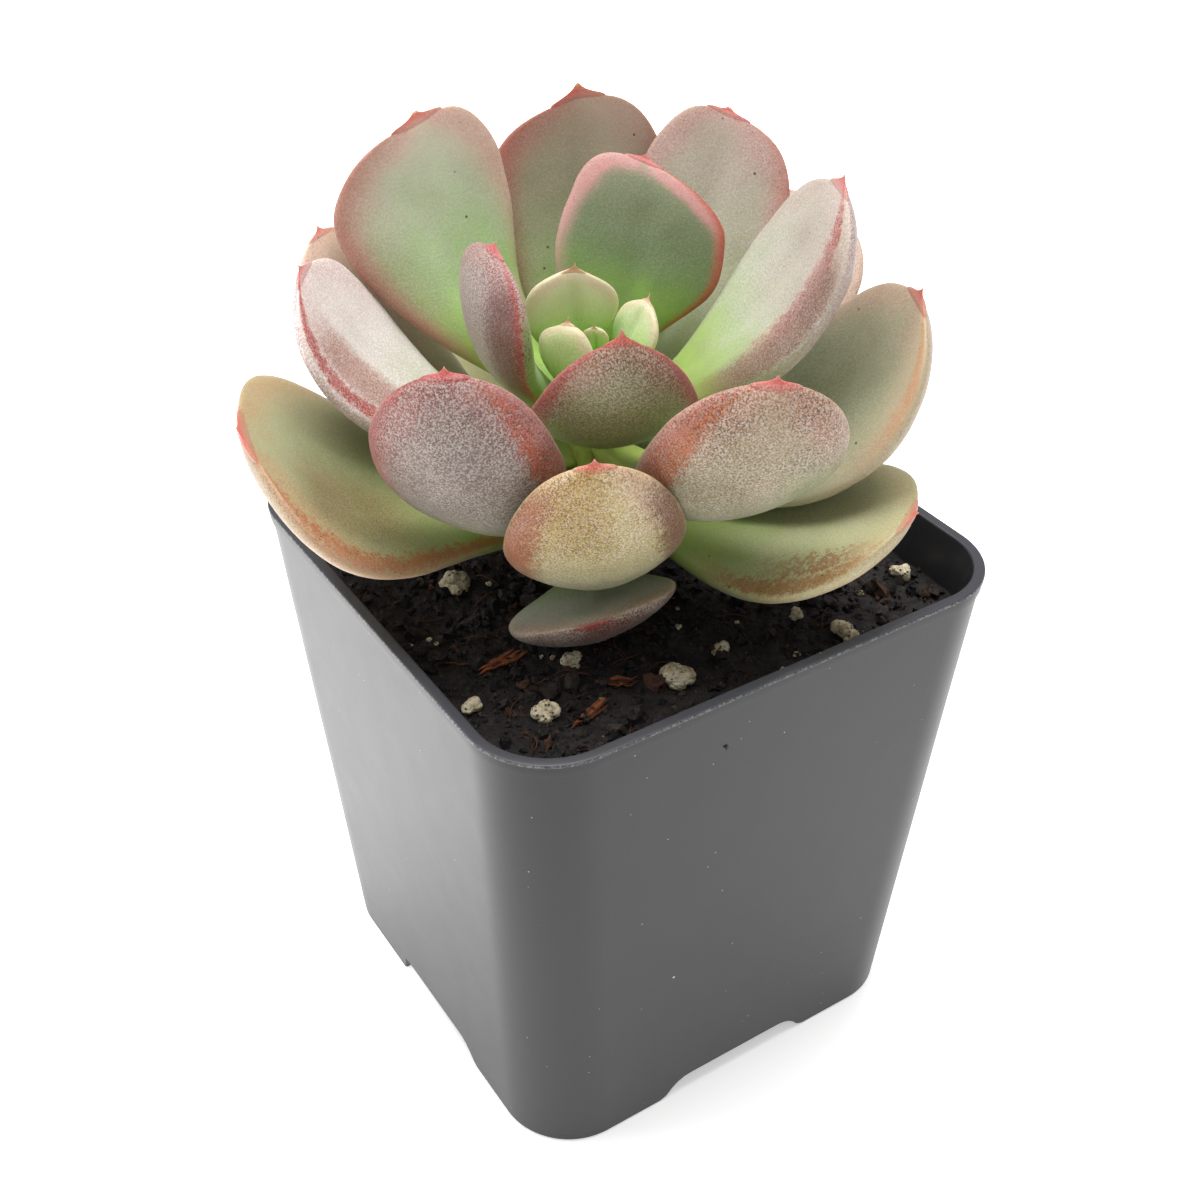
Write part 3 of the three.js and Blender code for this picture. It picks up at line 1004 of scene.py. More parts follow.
# ------------------------------------------------------------------ pot
@dataclass
class NurseryPot:
    """A thin moulded square pot: tapered wall, stepped lip, floor held up by a skirt with arches."""

    node: str = "pot"
    lip_step: float = 0.22 * MM
    lip_depth: float = 1.4 * MM
    lip_width: float = 1.15 * MM
    wall: float = 1.0 * MM
    base_side: float = 47.4 * MM
    corner_rim: float = 8.0 * MM
    corner_base: float = 7.6 * MM
    floor_underside: float = 2.6 * MM
    floor_thickness: float = 1.2 * MM
    arch_half_width: float = 9.0 * MM
    arch_shoulder: float = 0.62  # share of the arch's half width where its flat crown ends
    arch_rise: float = 2.3 * MM
    drain_radius: float = 3.0 * MM
    drain_offset: float = 13.0 * MM
    straight_steps: int = 44
    corner_steps: int = 18
    skirt_top: float = 7.0 * MM
    flutter: float = 0.05 * MM  # how far the thin wall wanders from flat
    drain_steps: int = 40
    scuffs: tuple[tuple[float, float, float, str], ...] = (  # scale, radius, rarity and ink of the specks
        (260.0, 0.05, 0.92, "C8C8C4"),
        (900.0, 0.03, 0.985, "1E1E20"),
        (1400.0, 0.12, 0.97, "A4A29C"),
    )
    height: float = field(init=False)
    rim_side: float = field(init=False)
    centre: Vector = field(init=False)
    corners: np.ndarray = field(init=False)
    spread: np.ndarray = field(init=False)
    around: int = field(init=False)

    def __post_init__(self) -> None:
        """Takes the overall size from the frame and lays out the ring."""
        low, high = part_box(self.node)
        self.height = high.z - low.z
        self.rim_side = high.x - low.x
        self.centre = ((low + high) / 2).xy
        corners, spread = [], []
        for quarter in range(4):
            side = np.array([math.cos(quarter * math.pi / 2), math.sin(quarter * math.pi / 2)])
            left = np.array([-side[1], side[0]])
            for i in range(self.straight_steps):
                corners.append(side + left * (2 * i / self.straight_steps - 1))
                spread.append(side)
            for i in range(self.corner_steps):
                turn = i / self.corner_steps * math.pi / 2
                corners.append(side + left)
                spread.append(side * math.cos(turn) + left * math.sin(turn))
        self.corners, self.spread = np.array(corners), np.array(spread)
        self.around = len(corners)

    def ring(self, side: object, corner: object, z: object) -> np.ndarray:
        """One ring of a rounded square.

        Args:
            side: the side's length, one number or one for each point.
            corner: the corner radius, the same.
            z: the height, the same.

        Returns:
            Points, anticlockwise from above.
        """
        side, corner, z = (np.broadcast_to(np.asarray(v, float), self.around) for v in (side, corner, z))
        flat = (side / 2 - corner)[:, None] * self.corners + corner[:, None] * self.spread
        return np.column_stack([flat + np.array(self.centre), z])

    def outside(self, z: object, extra: float = 0.0) -> np.ndarray:
        """Lays out one ring of the wall's outer face.

        Args:
            z: its height, one number or one for each point.
            extra: how far it is moved out.

        Returns:
            Points, anticlockwise from above.
        """
        share = np.asarray(z) / self.height
        side = self.base_side + (self.rim_side - 2 * self.lip_step - self.base_side) * share
        corner = self.corner_base + (self.corner_rim - self.lip_step - self.corner_base) * share
        return self.ring(side + 2 * extra, corner + extra, z)

    def arch(self) -> np.ndarray:
        """Works out where the skirt's lower edge runs.

        Returns:
            Its height at each point of the ring.
        """
        x, y = np.abs(self.corners).T
        reach = (self.base_side / 2 - self.corner_base) * np.where(x == 1, y, x)
        shoulder = self.arch_half_width * self.arch_shoulder
        fall = np.clip((reach - shoulder) / (self.arch_half_width - shoulder), 0, 1)
        return self.arch_rise * (1 - fall**2.4)

    def profile(self) -> list[np.ndarray]:
        """Lays out the wall from the underside's edge, down the skirt, up the outside, over the lip and down.

        Returns:
            The rings in that order.
        """
        edge, top, wall = self.arch(), self.height, -self.wall
        under, inner_floor = self.floor_underside, self.floor_underside + self.floor_thickness
        rings = [self.outside(under, wall), self.outside(np.minimum(edge + 0.3 * MM, under), wall)]
        rings += [self.outside(edge, wall + 0.25 * MM), self.outside(edge, -0.25 * MM)]
        for share in np.linspace(0.03, 1, 8):
            rings.append(self.outside(edge + share * (self.skirt_top - edge)))
        lip_foot = top - self.lip_depth
        rings += [self.outside(z) for z in np.linspace(self.skirt_top, lip_foot - self.lip_step, 30)[1:]]
        rings += [self.outside(lip_foot - 0.1 * MM), self.outside(lip_foot, self.lip_step - 0.03 * MM)]
        land, round_off = self.rim_side - 2 * self.lip_width, 0.22 * MM
        turns = np.linspace(0, math.pi / 2, 5)
        rounding = [(round_off * (1 - math.cos(t)), top - round_off * (1 - math.sin(t))) for t in turns]
        rings += [self.ring(self.rim_side - 2 * cut, self.corner_rim - cut, z) for cut, z in rounding]
        corner = self.corner_rim - self.lip_width
        rings += [self.ring(land + 2 * cut, corner + cut, z) for cut, z in reversed(rounding)]
        rings += [self.outside(z, wall) for z in np.linspace(top - 1.4 * MM, inner_floor + 0.6 * MM, 14)]
        rings.append(self.outside(inner_floor, wall - 0.5 * MM))
        return rings

    def build(self, effects: Effects) -> bpy.types.Object:
        """Makes the pot, drills its drains and dresses it.

        Args:
            effects: the shared node groups.

        Returns:
            The piece.
        """
        rings = self.profile()
        under = (*self.centre, self.floor_underside)
        inner_floor = (*self.centre, self.floor_underside + self.floor_thickness)
        points = self.relax(np.concatenate([[under], *rings, [inner_floor]]))
        piece = new_piece("nursery_pot", points, skin_faces(len(rings), self.around), 35)
        self.drill(piece)
        return dress(piece, self.finish(effects), self.node)

    def relax(self, points: np.ndarray) -> np.ndarray:
        """Lets the thin walls wander a little between floor and lip, inside and outside alike.

        Args:
            points: the pot's vertices.

        Returns:
            The same vertices, moved.
        """
        free = ease_between(points[:, 2], 0.1 * self.height, 0.45 * self.height)
        free *= ease_between(-points[:, 2], -0.97 * self.height, -0.75 * self.height)
        for i, share in enumerate(free):
            if share > 0:
                x, y, z = points[i]
                out = Vector((x - self.centre.x, y - self.centre.y, 0)).normalized()
                flat = Vector((x, y, 0)).normalized() * 20 * MM
                move = -abs(wander((flat.x, flat.y, z), 22 * MM, 4.0)) * share * self.flutter
                points[i, 0] += out.x * move
                points[i, 1] += out.y * move
        return points

    def drill(self, piece: bpy.types.Object) -> None:
        """Cuts one hole in the middle of the floor and one towards each corner.

        Args:
            piece: the pot, which is changed.
        """
        spots = [(0, 0), *((sx, sy) for sx in (-1, 1) for sy in (-1, 1))]
        levels = (0.5 * self.floor_underside, self.floor_underside + 2 * self.floor_thickness)
        steps = range(self.drain_steps)
        points, faces = [], []
        for sx, sy in spots:
            low = [len(points) + j for j in steps]
            high = [v + len(low) for v in low]
            for z in levels:
                for j in steps:
                    a = 2 * math.pi * j / len(steps)
                    x = self.centre.x + sx * self.drain_offset + self.drain_radius * math.cos(a)
                    y = self.centre.y + sy * self.drain_offset + self.drain_radius * math.sin(a)
                    points.append((x, y, z))
            faces += [(low[j - 1], low[j], high[j], high[j - 1]) for j in steps]
            faces += [tuple(reversed(low)), tuple(high)]
        mesh = bpy.data.meshes.new("drain_tools")
        mesh.from_pydata(points, [], faces)
        tools = bpy.data.objects.new("drain_tools", mesh)
        bpy.context.scene.collection.objects.link(tools)
        cut = piece.modifiers.new("drains", "BOOLEAN")
        cut.operation, cut.solver, cut.object = "DIFFERENCE", "EXACT", tools
        settle(piece)
        bpy.data.objects.remove(tools)
        piece.data.set_sharp_from_angle(angle=math.radians(35))

    def finish(self, effects: Effects) -> bpy.types.Material:
        """Builds the satin charcoal plastic, painted lighter inside, with a painted highlight along the lip's
        outer edge.

        Args:
            effects: the shared node groups.

        Returns:
            The material.
        """
        coat = Coat("pot_plastic", effects)
        height, top = coat.height_of(coat.point), self.height
        middle = (*self.centre, 0.5 * top)
        from_axis = coat.node("VectorMath", {0: coat.point, 1: middle}, operation="SUBTRACT").outputs[0]
        facing = coat.node("NewGeometry").outputs["Normal"]
        outward = coat.node("VectorMath", {0: facing, 1: from_axis}, operation="DOT_PRODUCT").outputs["Value"]
        below_lip = coat.ease(height, top - 0.1 * MM, top - 0.5 * MM)
        # Painted light: the inside walls and the lip's top keep a lighter charcoal than the outward faces
        # below the lip, standing in for light that reaches into the pot.
        coat.colour = tint("3C3D43")
        coat.lay(coat.times(coat.ease(outward, 16 * MM, 24 * MM), below_lip), "2C2C2D")
        coat.mottle(70.0, 0.2, "262627")
        # Painted highlight: a pale line round the lip's rounded outer edge, on outward faces only, broken up
        # by noise.
        low = coat.ease(height, top - 0.30 * MM, top - 0.20 * MM)
        high = coat.ease(height, top - 0.08 * MM, top - 0.02 * MM)
        wear_and_highlight = coat.ease(coat.cloud(coat.point, 3400, 4, 0.8), 0.40, 0.66)
        edge = coat.times(coat.minus(low, high, clamp=True), wear_and_highlight)
        edge = coat.times(edge, coat.ease(outward, 8 * MM, 14 * MM))
        coat.lay(coat.times(edge, 0.6), "9E9D9A")
        for scuff in self.scuffs:
            coat.specks(*scuff)
        roughness = coat.ease(coat.cloud(coat.point, 240, 4, 0.6), 0.3, 0.7, 0.35, 0.37)
        return coat.finish(roughness, coat.grain(4200.0, 0.3), 0.012 * MM, Specular_IOR_Level=0.42)


def settle(piece: bpy.types.Object) -> None:
    """Applies a piece's modifiers to its mesh.

    Args:
        piece: the piece, which is changed.
    """
    graph = bpy.context.evaluated_depsgraph_get()
    mesh = bpy.data.meshes.new_from_object(piece.evaluated_get(graph))
    piece.modifiers.clear()
    piece.data = mesh


# ------------------------------------------------------------------ potting mix and what lies on it
@dataclass
class PottingMix:
    """Black peaty mix: a crumbly surface, loose crumbs and grit, fibres, perlite and bark."""

    pot: NurseryPot
    node: str = "potting_mix"
    seed: int = 11
    share_steps: int = 120
    overlap: float = 0.25 * MM  # how far it reaches into the wall, so that no gap shows
    crumbs: int = 950
    grit: int = 3600
    fibres: int = 260
    bark_crumbs: int = 70
    perlite_crumbs: int = 60
    chip_fibres: int = 7
    low: float = field(init=False)
    level: float = field(init=False)
    stem: Vector = field(init=False)
    random: np.random.Generator = field(init=False)

    def __post_init__(self) -> None:
        """Reads the level from the frame."""
        low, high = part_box(self.node)
        self.low, self.level = low.z, high.z - 0.75 * MM
        stem_low, stem_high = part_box("stem")
        self.stem = ((stem_low + stem_high) / 2).xy
        self.random = np.random.default_rng(self.seed)

    def height(self, x: float, y: float) -> float:
        """Works out how high the crumbly surface stands at a place.

        Args:
            x: the place.
            y: the place.

        Returns:
            The height in metres.
        """
        place = (x, y, 0.0)
        rough = 0.42 * wander(place, 6 * MM, 1.0) + 0.34 * wander(place, 1.9 * MM, 2.0)
        rough += 0.20 * wander(place, 0.8 * MM, 3.0) + 0.12 * wander(place, 0.4 * MM, 4.0)
        from_stem = (Vector((x, y)) - self.stem).length
        mound = 0.5 * math.exp(-((from_stem / (7 * MM)) ** 2))
        return self.level + (rough + mound) * MM

    def outline(self, share: float) -> np.ndarray:
        """Lays out the inside of the pot at the mix's level, drawn in towards the middle.

        Args:
            share: its size as a share of the pot's.

        Returns:
            The ring of points.
        """
        ring = self.pot.outside(self.level, self.overlap - self.pot.wall)
        centre = np.array([*self.pot.centre, self.level])
        return centre + (ring - centre) * share

    def surface(self, effects: Effects) -> bpy.types.Object:
        """Makes the body of the mix with its crumbly top.

        Args:
            effects: the shared node groups.

        Returns:
            The piece.
        """
        foot = self.pot.outside(self.low, self.overlap - self.pot.wall)
        rings = [foot, self.outline(1.0) - np.array([0, 0, 1.5 * MM])]
        for k in range(self.share_steps):
            ring = self.outline(1 - k / self.share_steps)
            ring[:, 2] = [self.height(x, y) for x, y in ring[:, :2]]
            rings.append(ring)
        x, y = self.pot.centre
        points = np.concatenate([[(x, y, self.low)], *rings, [(x, y, self.height(x, y))]])
        piece = new_piece("potting_mix_bed", points, skin_faces(len(rings), self.pot.around), 180)
        return dress(piece, self.peat("peat_bed", effects), self.node)

    def spot(self) -> tuple[float, float]:
        """Picks a free place on the surface, more often near the walls.

        Returns:
            The place's x and y.
        """
        while True:
            ring = self.outline(0.985 * math.sqrt(self.random.uniform(0.0, 1.0)))
            x, y = ring[self.random.integers(len(ring))][:2] + self.random.uniform(-0.4, 0.4, 2) * MM
            if (Vector((x, y)) - self.stem).length > 3.2 * MM:
                return x, y

    def loose(
        self, name: str, count: int, small: float, large: float, finish: bpy.types.Material, detail: int
    ) -> bpy.types.Object:
        """Scatters lumps over the surface.

        Args:
            name: the piece's name.
            count: how many lumps.
            small: the smallest radius.
            large: the largest radius.
            finish: their material.
            detail: how often the lump's faces are split.

        Returns:
            The piece that holds them all.
        """
        ball, ball_faces = icosphere(detail)
        heap = Heap()
        for _ in range(count):
            x, y = self.spot()
            radius = small + (large - small) * self.random.uniform() ** 2.6
            stretch = self.random.uniform(0.55, 1.25, 3) * radius
            lump = ball * (1 + 0.32 * self.random.standard_normal((len(ball), 1))) * stretch
            lump = lump @ turned(self.random)
            lump += (x, y, self.height(x, y) + radius * self.random.uniform(-0.1, 0.45))
            heap.add(lump, ball_faces, self.random.uniform())
        return dress(heap.piece(name, 50), finish)

    def fibre_piece(self, effects: Effects) -> bpy.types.Object:
        """Lays fine root and peat fibres over the surface.

        Args:
            effects: the shared node groups.

        Returns:
            The piece.
        """
        heap = Heap()
        for _ in range(self.fibres):
            x, y = self.spot()
            heading = self.random.uniform(0, 2 * math.pi)
            bend = self.random.normal(0, 0.9)
            length = self.random.uniform(1.0, 4.5) * MM
            radius = self.random.uniform(0.03, 0.09) * MM
            line = []
            for t in np.linspace(0, 1, 8):
                turn = heading + bend * t
                x, y = x + math.cos(turn) * length / 8, y + math.sin(turn) * length / 8
                line.append((x, y, self.height(x, y) + (0.15 + 0.3 * math.sin(math.pi * t)) * MM))
            if self.inside(line):
                heap.add(*thin_tube(np.array(line), radius), self.random.uniform())
        wood = self.wood("fibre", effects, "2A1A12", "6B3F26")
        return dress(heap.piece("peat_fibres", 180), wood)

    def inside(self, line: Sequence[Sequence[float]]) -> bool:
        """Whether a line of points stays inside the pot's walls."""
        half = self.pot.base_side / 2
        return all(max(abs(x - self.pot.centre.x), abs(y - self.pot.centre.y)) < half for x, y, _ in line)

    def peat(self, name: str, effects: Effects) -> bpy.types.Material:
        """Builds the dark, faintly brown peat, with sparse pale specks painted on as glints.

        Args:
            name: the material's name. All but the bed's takes its tone from the mesh.
            effects: the shared node groups.

        Returns:
            The material.
        """
        coat = Coat(name, effects)
        tone = coat.cloud(coat.point, 800, 4, 0.65)
        if name != "peat_bed":
            tone = coat.plus(coat.times(coat.value_of("tone"), 0.75), coat.times(tone, 0.35))
        coat.colour = tint("151314")
        coat.lay(coat.ease(tone, 0.35, 0.9), "3A312C")
        coat.lay(coat.ease(tone, 0.93, 0.99), "6A4028")
        # Painted highlight: sparse pale specks stand in for glints of light on the peat.
        coat.specks(1500.0, 0.2, 0.985, "7A6F60")
        roughness = coat.ease(coat.cloud(coat.point, 1600, 2), 0.3, 0.7, 0.6, 0.95)
        return coat.finish(roughness, coat.grain(2200.0, 1.5), 0.25 * MM)

    def wood(self, name: str, effects: Effects, dark: str, light: str) -> bpy.types.Material:
        """Builds a dull woody finish between two colours.

        Args:
            name: the material's name.
            effects: the shared node groups.
            dark: the darkest colour.
            light: the lightest colour.

        Returns:
            The material.
        """
        coat = Coat(name, effects)
        fibres = coat.cloud(coat.point, 1500, 5, 0.7, 1.5)
        tone = coat.plus(coat.times(coat.value_of("tone"), 0.6), coat.times(fibres, 0.5))
        coat.colour = tint(dark)
        coat.lay(coat.ease(tone, 0.2, 0.85), light)
        coat.mottle(1800.0, 0.5, dark)
        return coat.finish(0.85, coat.grain(3000.0, 1.0), 0.1 * MM)

    def perlite_finish(self, effects: Effects) -> bpy.types.Material:
        """Builds the chalky, pored and peat-stained volcanic grain, its pores darkened as painted shade.

        Args:
            effects: the shared node groups.

        Returns:
            The material.
        """
        coat = Coat("perlite", effects)
        coat.colour = tint("E6DCC0")
        coat.mottle(900.0, 0.9, "A08C66")
        # Painted shade: the pores are darkened as well as sunk into the bump.
        pores = coat.specks(2300.0, 0.34, 0.55, "6E604C")
        coat.stipple(3000.0, 0.35, "4E4030")
        return coat.finish(0.9, coat.minus(coat.grain(2600.0, 1.2), pores), 0.12 * MM)

    def grains(self, effects: Effects) -> list[bpy.types.Object]:
        """Makes every perlite grain as a popped cluster of lobes, plus a piece of scattered small ones.

        Args:
            effects: the shared node groups.

        Returns:
            The pieces.
        """
        finish = self.perlite_finish(effects)
        made = []
        for node in frame_nodes("perlite_"):
            low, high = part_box(node)
            radius = (high.x - low.x + high.y - low.y) / 4
            centre = Vector(((low.x + high.x) / 2, (low.y + high.y) / 2, 0))
            centre.z = self.height(centre.x, centre.y) + 0.45 * radius
            piece = new_piece(node + "_grain", *popped(centre, radius * 1.05, self.random, 4), 180)
            made.append(dress(piece, finish, node))
        heap = Heap()
        for _ in range(self.perlite_crumbs):
            x, y = self.spot()
            radius = self.random.uniform(0.15, 0.42) * MM
            centre = Vector((x, y, self.height(x, y) + 0.3 * radius))
            heap.add(*popped(centre, radius, self.random, 2))
        return [*made, dress(heap.piece("perlite_crumbs", 180), finish)]

    def bark_pieces(self, effects: Effects) -> list[bpy.types.Object]:
        """Makes every bark chip as a bundle of split fibres along its frame solid.

        Args:
            effects: the shared node groups.

        Returns:
            The pieces.
        """
        finish = self.wood("bark", effects, "3A1E12", "96552E")
        made = []
        for node in frame_nodes("bark_"):
            first, last = far_ends(bpy.data.objects[node])
            line = last - first
            aside = Vector((-line.y, line.x, 0)).normalized()
            heap = Heap()
            for _ in range(self.chip_fibres):
                shift = aside * self.random.uniform(-0.45, 0.45) * MM
                start, stop = self.random.uniform(0.0, 0.25), self.random.uniform(0.7, 1.0)
                path = []
                for t in np.linspace(start, stop, 9):
                    place = first + line * t + shift * (1 + 0.4 * math.sin(5 * t))
                    place.z = self.height(place.x, place.y) + self.random.uniform(0.25, 0.5) * MM
                    path.append(tuple(place))
                fibre = thin_tube(np.array(path), self.random.uniform(0.14, 0.32) * MM, 0.5)
                heap.add(*fibre, self.random.uniform())
            made.append(dress(heap.piece(node + "_chip", 40), finish, node))
        return made

    def build(self, effects: Effects) -> list[bpy.types.Object]:
        """Makes the bed and everything that lies on it.

        Args:
            effects: the shared node groups.

        Returns:
            The pieces.
        """
        peat = self.peat("peat_crumbs", effects)
        made = [self.surface(effects)]
        made.append(self.loose("peat_lumps", self.crumbs, 0.25 * MM, 0.95 * MM, peat, 1))
        made.append(self.loose("peat_grit", self.grit, 0.10 * MM, 0.36 * MM, peat, 0))
        made.append(self.fibre_piece(effects))
        chips = self.wood("bark_crumb", effects, "20140F", "573A2A")
        made.append(self.loose("bark_crumbs", self.bark_crumbs, 0.3 * MM, 0.85 * MM, chips, 1))
        return made + self.grains(effects) + self.bark_pieces(effects)


def frame_nodes(start: str) -> list[str]:
    """Names of the frame's nodes that start so, in order."""
    names = (o["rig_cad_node"] for o in bpy.data.objects if "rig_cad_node" in o)
    return sorted(n for n in names if n.startswith(start))


def icosphere(detail: int) -> tuple[np.ndarray, Faces]:
    """Makes a unit ball of triangles.

    Args:
        detail: how often each face is split in four.

    Returns:
        Points and faces.
    """
    g = (1 + math.sqrt(5)) / 2
    knots = [(-1, g, 0), (1, g, 0), (-1, -g, 0), (1, -g, 0), (0, -1, g), (0, 1, g)]
    knots += [(0, -1, -g), (0, 1, -g), (g, 0, -1), (g, 0, 1), (-g, 0, -1), (-g, 0, 1)]
    points = [Vector(p).normalized() for p in knots]
    faces: Faces = [(0, 11, 5), (0, 5, 1), (0, 1, 7), (0, 7, 10), (0, 10, 11), (1, 5, 9), (5, 11, 4)]
    faces += [(11, 10, 2), (10, 7, 6), (7, 1, 8), (3, 9, 4), (3, 4, 2), (3, 2, 6), (3, 6, 8), (3, 8, 9)]
    faces += [(4, 9, 5), (2, 4, 11), (6, 2, 10), (8, 6, 7), (9, 8, 1)]
    for _ in range(detail):
        middle: dict[tuple[int, int], int] = {}

        def between(a: int, b: int) -> int:
            """Number of the vertex halfway along an edge, made when it is first asked for."""
            key = (min(a, b), max(a, b))
            if key not in middle:
                middle[key] = len(points)
                points.append((points[a] + points[b]).normalized())
            return middle[key]

        split: Faces = []
        for a, b, c in faces:
            ab, bc, ca = between(a, b), between(b, c), between(c, a)
            split += [(a, ab, ca), (ab, b, bc), (ca, bc, c), (ab, bc, ca)]
        faces = split
    return np.array(points), faces


def turned(random: np.random.Generator) -> np.ndarray:
    """A random turn as a 3 by 3 matrix."""
    made, _ = np.linalg.qr(random.standard_normal((3, 3)))
    return made * np.sign(np.linalg.det(made))


def popped(
    centre: Vector, radius: float, random: np.random.Generator, detail: int
) -> tuple[np.ndarray, Faces]:
    """Makes a lumpy grain of a few swollen lobes.

    Args:
        centre: its middle.
        radius: about how far it reaches.
        random: the source of chance.
        detail: how finely it is split.

    Returns:
        Points and faces.
    """
    ball, faces = icosphere(detail)
    reach = np.full(len(ball), 0.55)
    for _ in range(6):
        toward = random.standard_normal(3) * (1, 1, 0.6)
        toward *= 0.5 / np.linalg.norm(toward)
        lobe = random.uniform(0.36, 0.54)
        along = ball @ toward
        inside = lobe**2 - (0.25 - along**2)
        reach = np.maximum(reach, np.where(inside > 0, along + np.sqrt(np.maximum(inside, 0)), 0))
    seed = random.uniform(0, 40)
    bumps = [0.10 * wander(p, 0.35, seed) + 0.05 * wander(p, 0.15, seed) for p in ball]
    points = ball * (reach + np.array(bumps))[:, None] * radius * (1, 1, 0.85)
    return points + np.array(centre), faces


def thin_tube(
    line: np.ndarray, radius: float, flat: float = 1.0, around: int = 5
) -> tuple[np.ndarray, Faces]:
    """Makes a tapered closed tube along a line of points.

    Args:
        line: n by 3.
        radius: at its thickest.
        flat: its height as a share of its width.
        around: how many sides it has.

    Returns:
        Points and faces.
    """
    along = np.gradient(line, axis=0)
    along /= np.linalg.norm(along, axis=1, keepdims=True)
    side = np.cross(along, (0, 0, 1.0))
    side /= np.maximum(np.linalg.norm(side, axis=1, keepdims=True), 1e-9)
    up = np.cross(side, along)
    taper = np.sqrt(np.sin(np.linspace(0.12, math.pi - 0.12, len(line))))[:, None, None]
    turns = np.arange(around) / around * 2 * math.pi
    ring = np.cos(turns)[None, :, None] * side[:, None] + flat * np.sin(turns)[None, :, None] * up[:, None]
    body = line[:, None] + ring * taper * radius
    first, last = line[:1] - along[:1] * radius, line[-1:] + along[-1:] * radius
    points = np.concatenate([first, body.reshape(-1, 3), last])
    return points, [face[::-1] for face in skin_faces(len(line), around)]


def far_ends(solid: bpy.types.Object) -> tuple[Vector, Vector]:
    """Finds the two vertices of a solid that lie furthest apart.

    Args:
        solid: the solid.

    Returns:
        Their places.
    """
    places = [v.co for v in solid.data.vertices]
    first = max(places, key=lambda p: (p - places[0]).length)
    return first.copy(), max(places, key=lambda p: (p - first).length).copy()


# ------------------------------------------------------------------ studio
@dataclass
class Studio:
    """Plain pale floor, soft light and the camera."""

    azimuth: float = -32.854
    elevation: float = 36.254
    distance: float = 191.993 * MM
    target: tuple[float, float, float] = (12.395 * MM, 16.036 * MM, 31.206 * MM)
    lens: float = 48.80
    floor_side: float = 6.0

    def build(self, effects: Effects) -> None:
        """Sets up floor, world, lamps and camera.

        Args:
            effects: the shared node groups.
        """
        self.floor(effects)
        self.world()
        self.lamp("overhead", (0.05, 0.10, 0.75), 0.6, 7.6)
        self.lamp("left", (-0.62, 0.42, 0.50), 0.5, 2.6)
        self.camera()

    def floor(self, effects: Effects) -> None:
        """Lays the floor.

        Args:
            effects: the shared node groups.
        """
        half = self.floor_side / 2
        mesh = bpy.data.meshes.new("floor")
        corners = [(-half, -half, 0), (half, -half, 0), (half, half, 0), (-half, half, 0)]
        mesh.from_pydata(corners, [], [(0, 1, 2, 3)])
        floor = bpy.data.objects.new("floor", mesh)
        bpy.context.scene.collection.objects.link(floor)
        coat = Coat("pale_floor", effects)
        coat.colour = tint("F4F4F2")
        coat.lay(coat.cloud(coat.point, 3.0, 2), "FAFAFA")
        x, y, _ = coat.node("SeparateXYZ", {0: coat.point}).outputs
        # The floor glows more behind the plant than in front of it.
        lit = coat.ease(coat.minus(y, coat.times(x, 0.3)), -0.012, 0.045)
        glow = coat.blend(lit, (0.26, 0.26, 0.26, 1), (0.82, 0.82, 0.82, 1))
        material = coat.finish(0.9, 0.0, 0.0, Emission_Color=glow, Emission_Strength=1.55)
        mesh.materials.append(material)

    def world(self) -> None:
        """Fills the room with even white light."""
        world = bpy.data.worlds.new("studio_world")
        world.use_nodes = True
        back = world.node_tree.nodes["Background"]
        back.inputs["Color"].default_value = (1.0, 1.0, 1.0, 1)
        back.inputs["Strength"].default_value = 0.5
        bpy.context.scene.world = world
        bpy.context.scene.view_settings.view_transform = "Standard"

    def lamp(self, name: str, place: tuple[float, float, float], size: float, power: float) -> None:
        """Hangs a square soft box that faces the plant.

        Args:
            name: the lamp's name.
            place: where it hangs, in metres.
            size: its side.
            power: its power in watts.
        """
        light = bpy.data.lights.new(name, "AREA")
        light.shape, light.size, light.energy = "SQUARE", size, power
        lamp = bpy.data.objects.new(name, light)
        lamp.location = place
        lamp.rotation_euler = (Vector((0, 0, 0.05)) - Vector(place)).to_track_quat("-Z", "Y").to_euler()
        bpy.context.scene.collection.objects.link(lamp)

    def camera(self) -> None:
        """Aims the camera."""
        az, el = math.radians(self.azimuth), math.radians(self.elevation)
        back = Vector((math.sin(az) * math.cos(el), -math.cos(az) * math.cos(el), math.sin(el)))
        data = bpy.data.cameras.new("camera")
        data.lens, data.sensor_width, data.clip_start = self.lens, 36.0, 0.01
        camera = bpy.data.objects.new("camera", data)
        camera.location = Vector(self.target) + back * self.distance
        camera.rotation_euler = (-back).to_track_quat("-Z", "Y").to_euler()
        bpy.context.scene.collection.objects.link(camera)
        bpy.context.scene.camera = camera


# ------------------------------------------------------------------ the plant
GREEN = LeafFinish(
    foot="96AE54", face="7A9A58", belly="868A62", end="A89688", end_share=0.6, rim="BC706C", rim_share=0.6,
    powder="C2C4B4", powder_share=0.45, freckles=0.03,
)
MAUVE = LeafFinish(
    foot="96A850", face="86946A", belly="664E42", end="84605A", rim="A05450", rim_share=0.6, dots="48302A",
    dots_share=0.75, powder="D4CCCA", powder_share=0.56, shade="6A5C50",
)
OLIVE = LeafFinish(
    foot="86A040", face="868A52", belly="90844E", end="A48C5E", rim="B0703F", rim_share=0.45, dots="5E3E22",
    powder="BAB898", powder_share=0.45, shade="6E6A38",
)
INNER = LeafFinish(
    foot="86AA3C", face="425E28", belly="587034", end="7E7058", end_share=0.4, rim="A8564E",
    powder="AEB8A4", powder_share=0.26, shade="48603A",
)
BUD = LeafFinish(
    foot="94D03E", face="98D054", belly="A0C85C", end="D8CEA8", end_share=0.6, rim="D0B89C", rim_share=0.7,
    dots_share=0.15, powder="E4E0CC", powder_share=0.4, shade="80AC50", tip="C87A68",
)


def leaf(
    name: str, slot: str, base: LeafFinish, shape: LeafShape = LeafShape(), **changes: object
) -> Leaf:
    """One leaf of that name, slot and shape, whose finish differs from a base in some values."""
    return Leaf(name, replace(base, **changes), shape, slot)


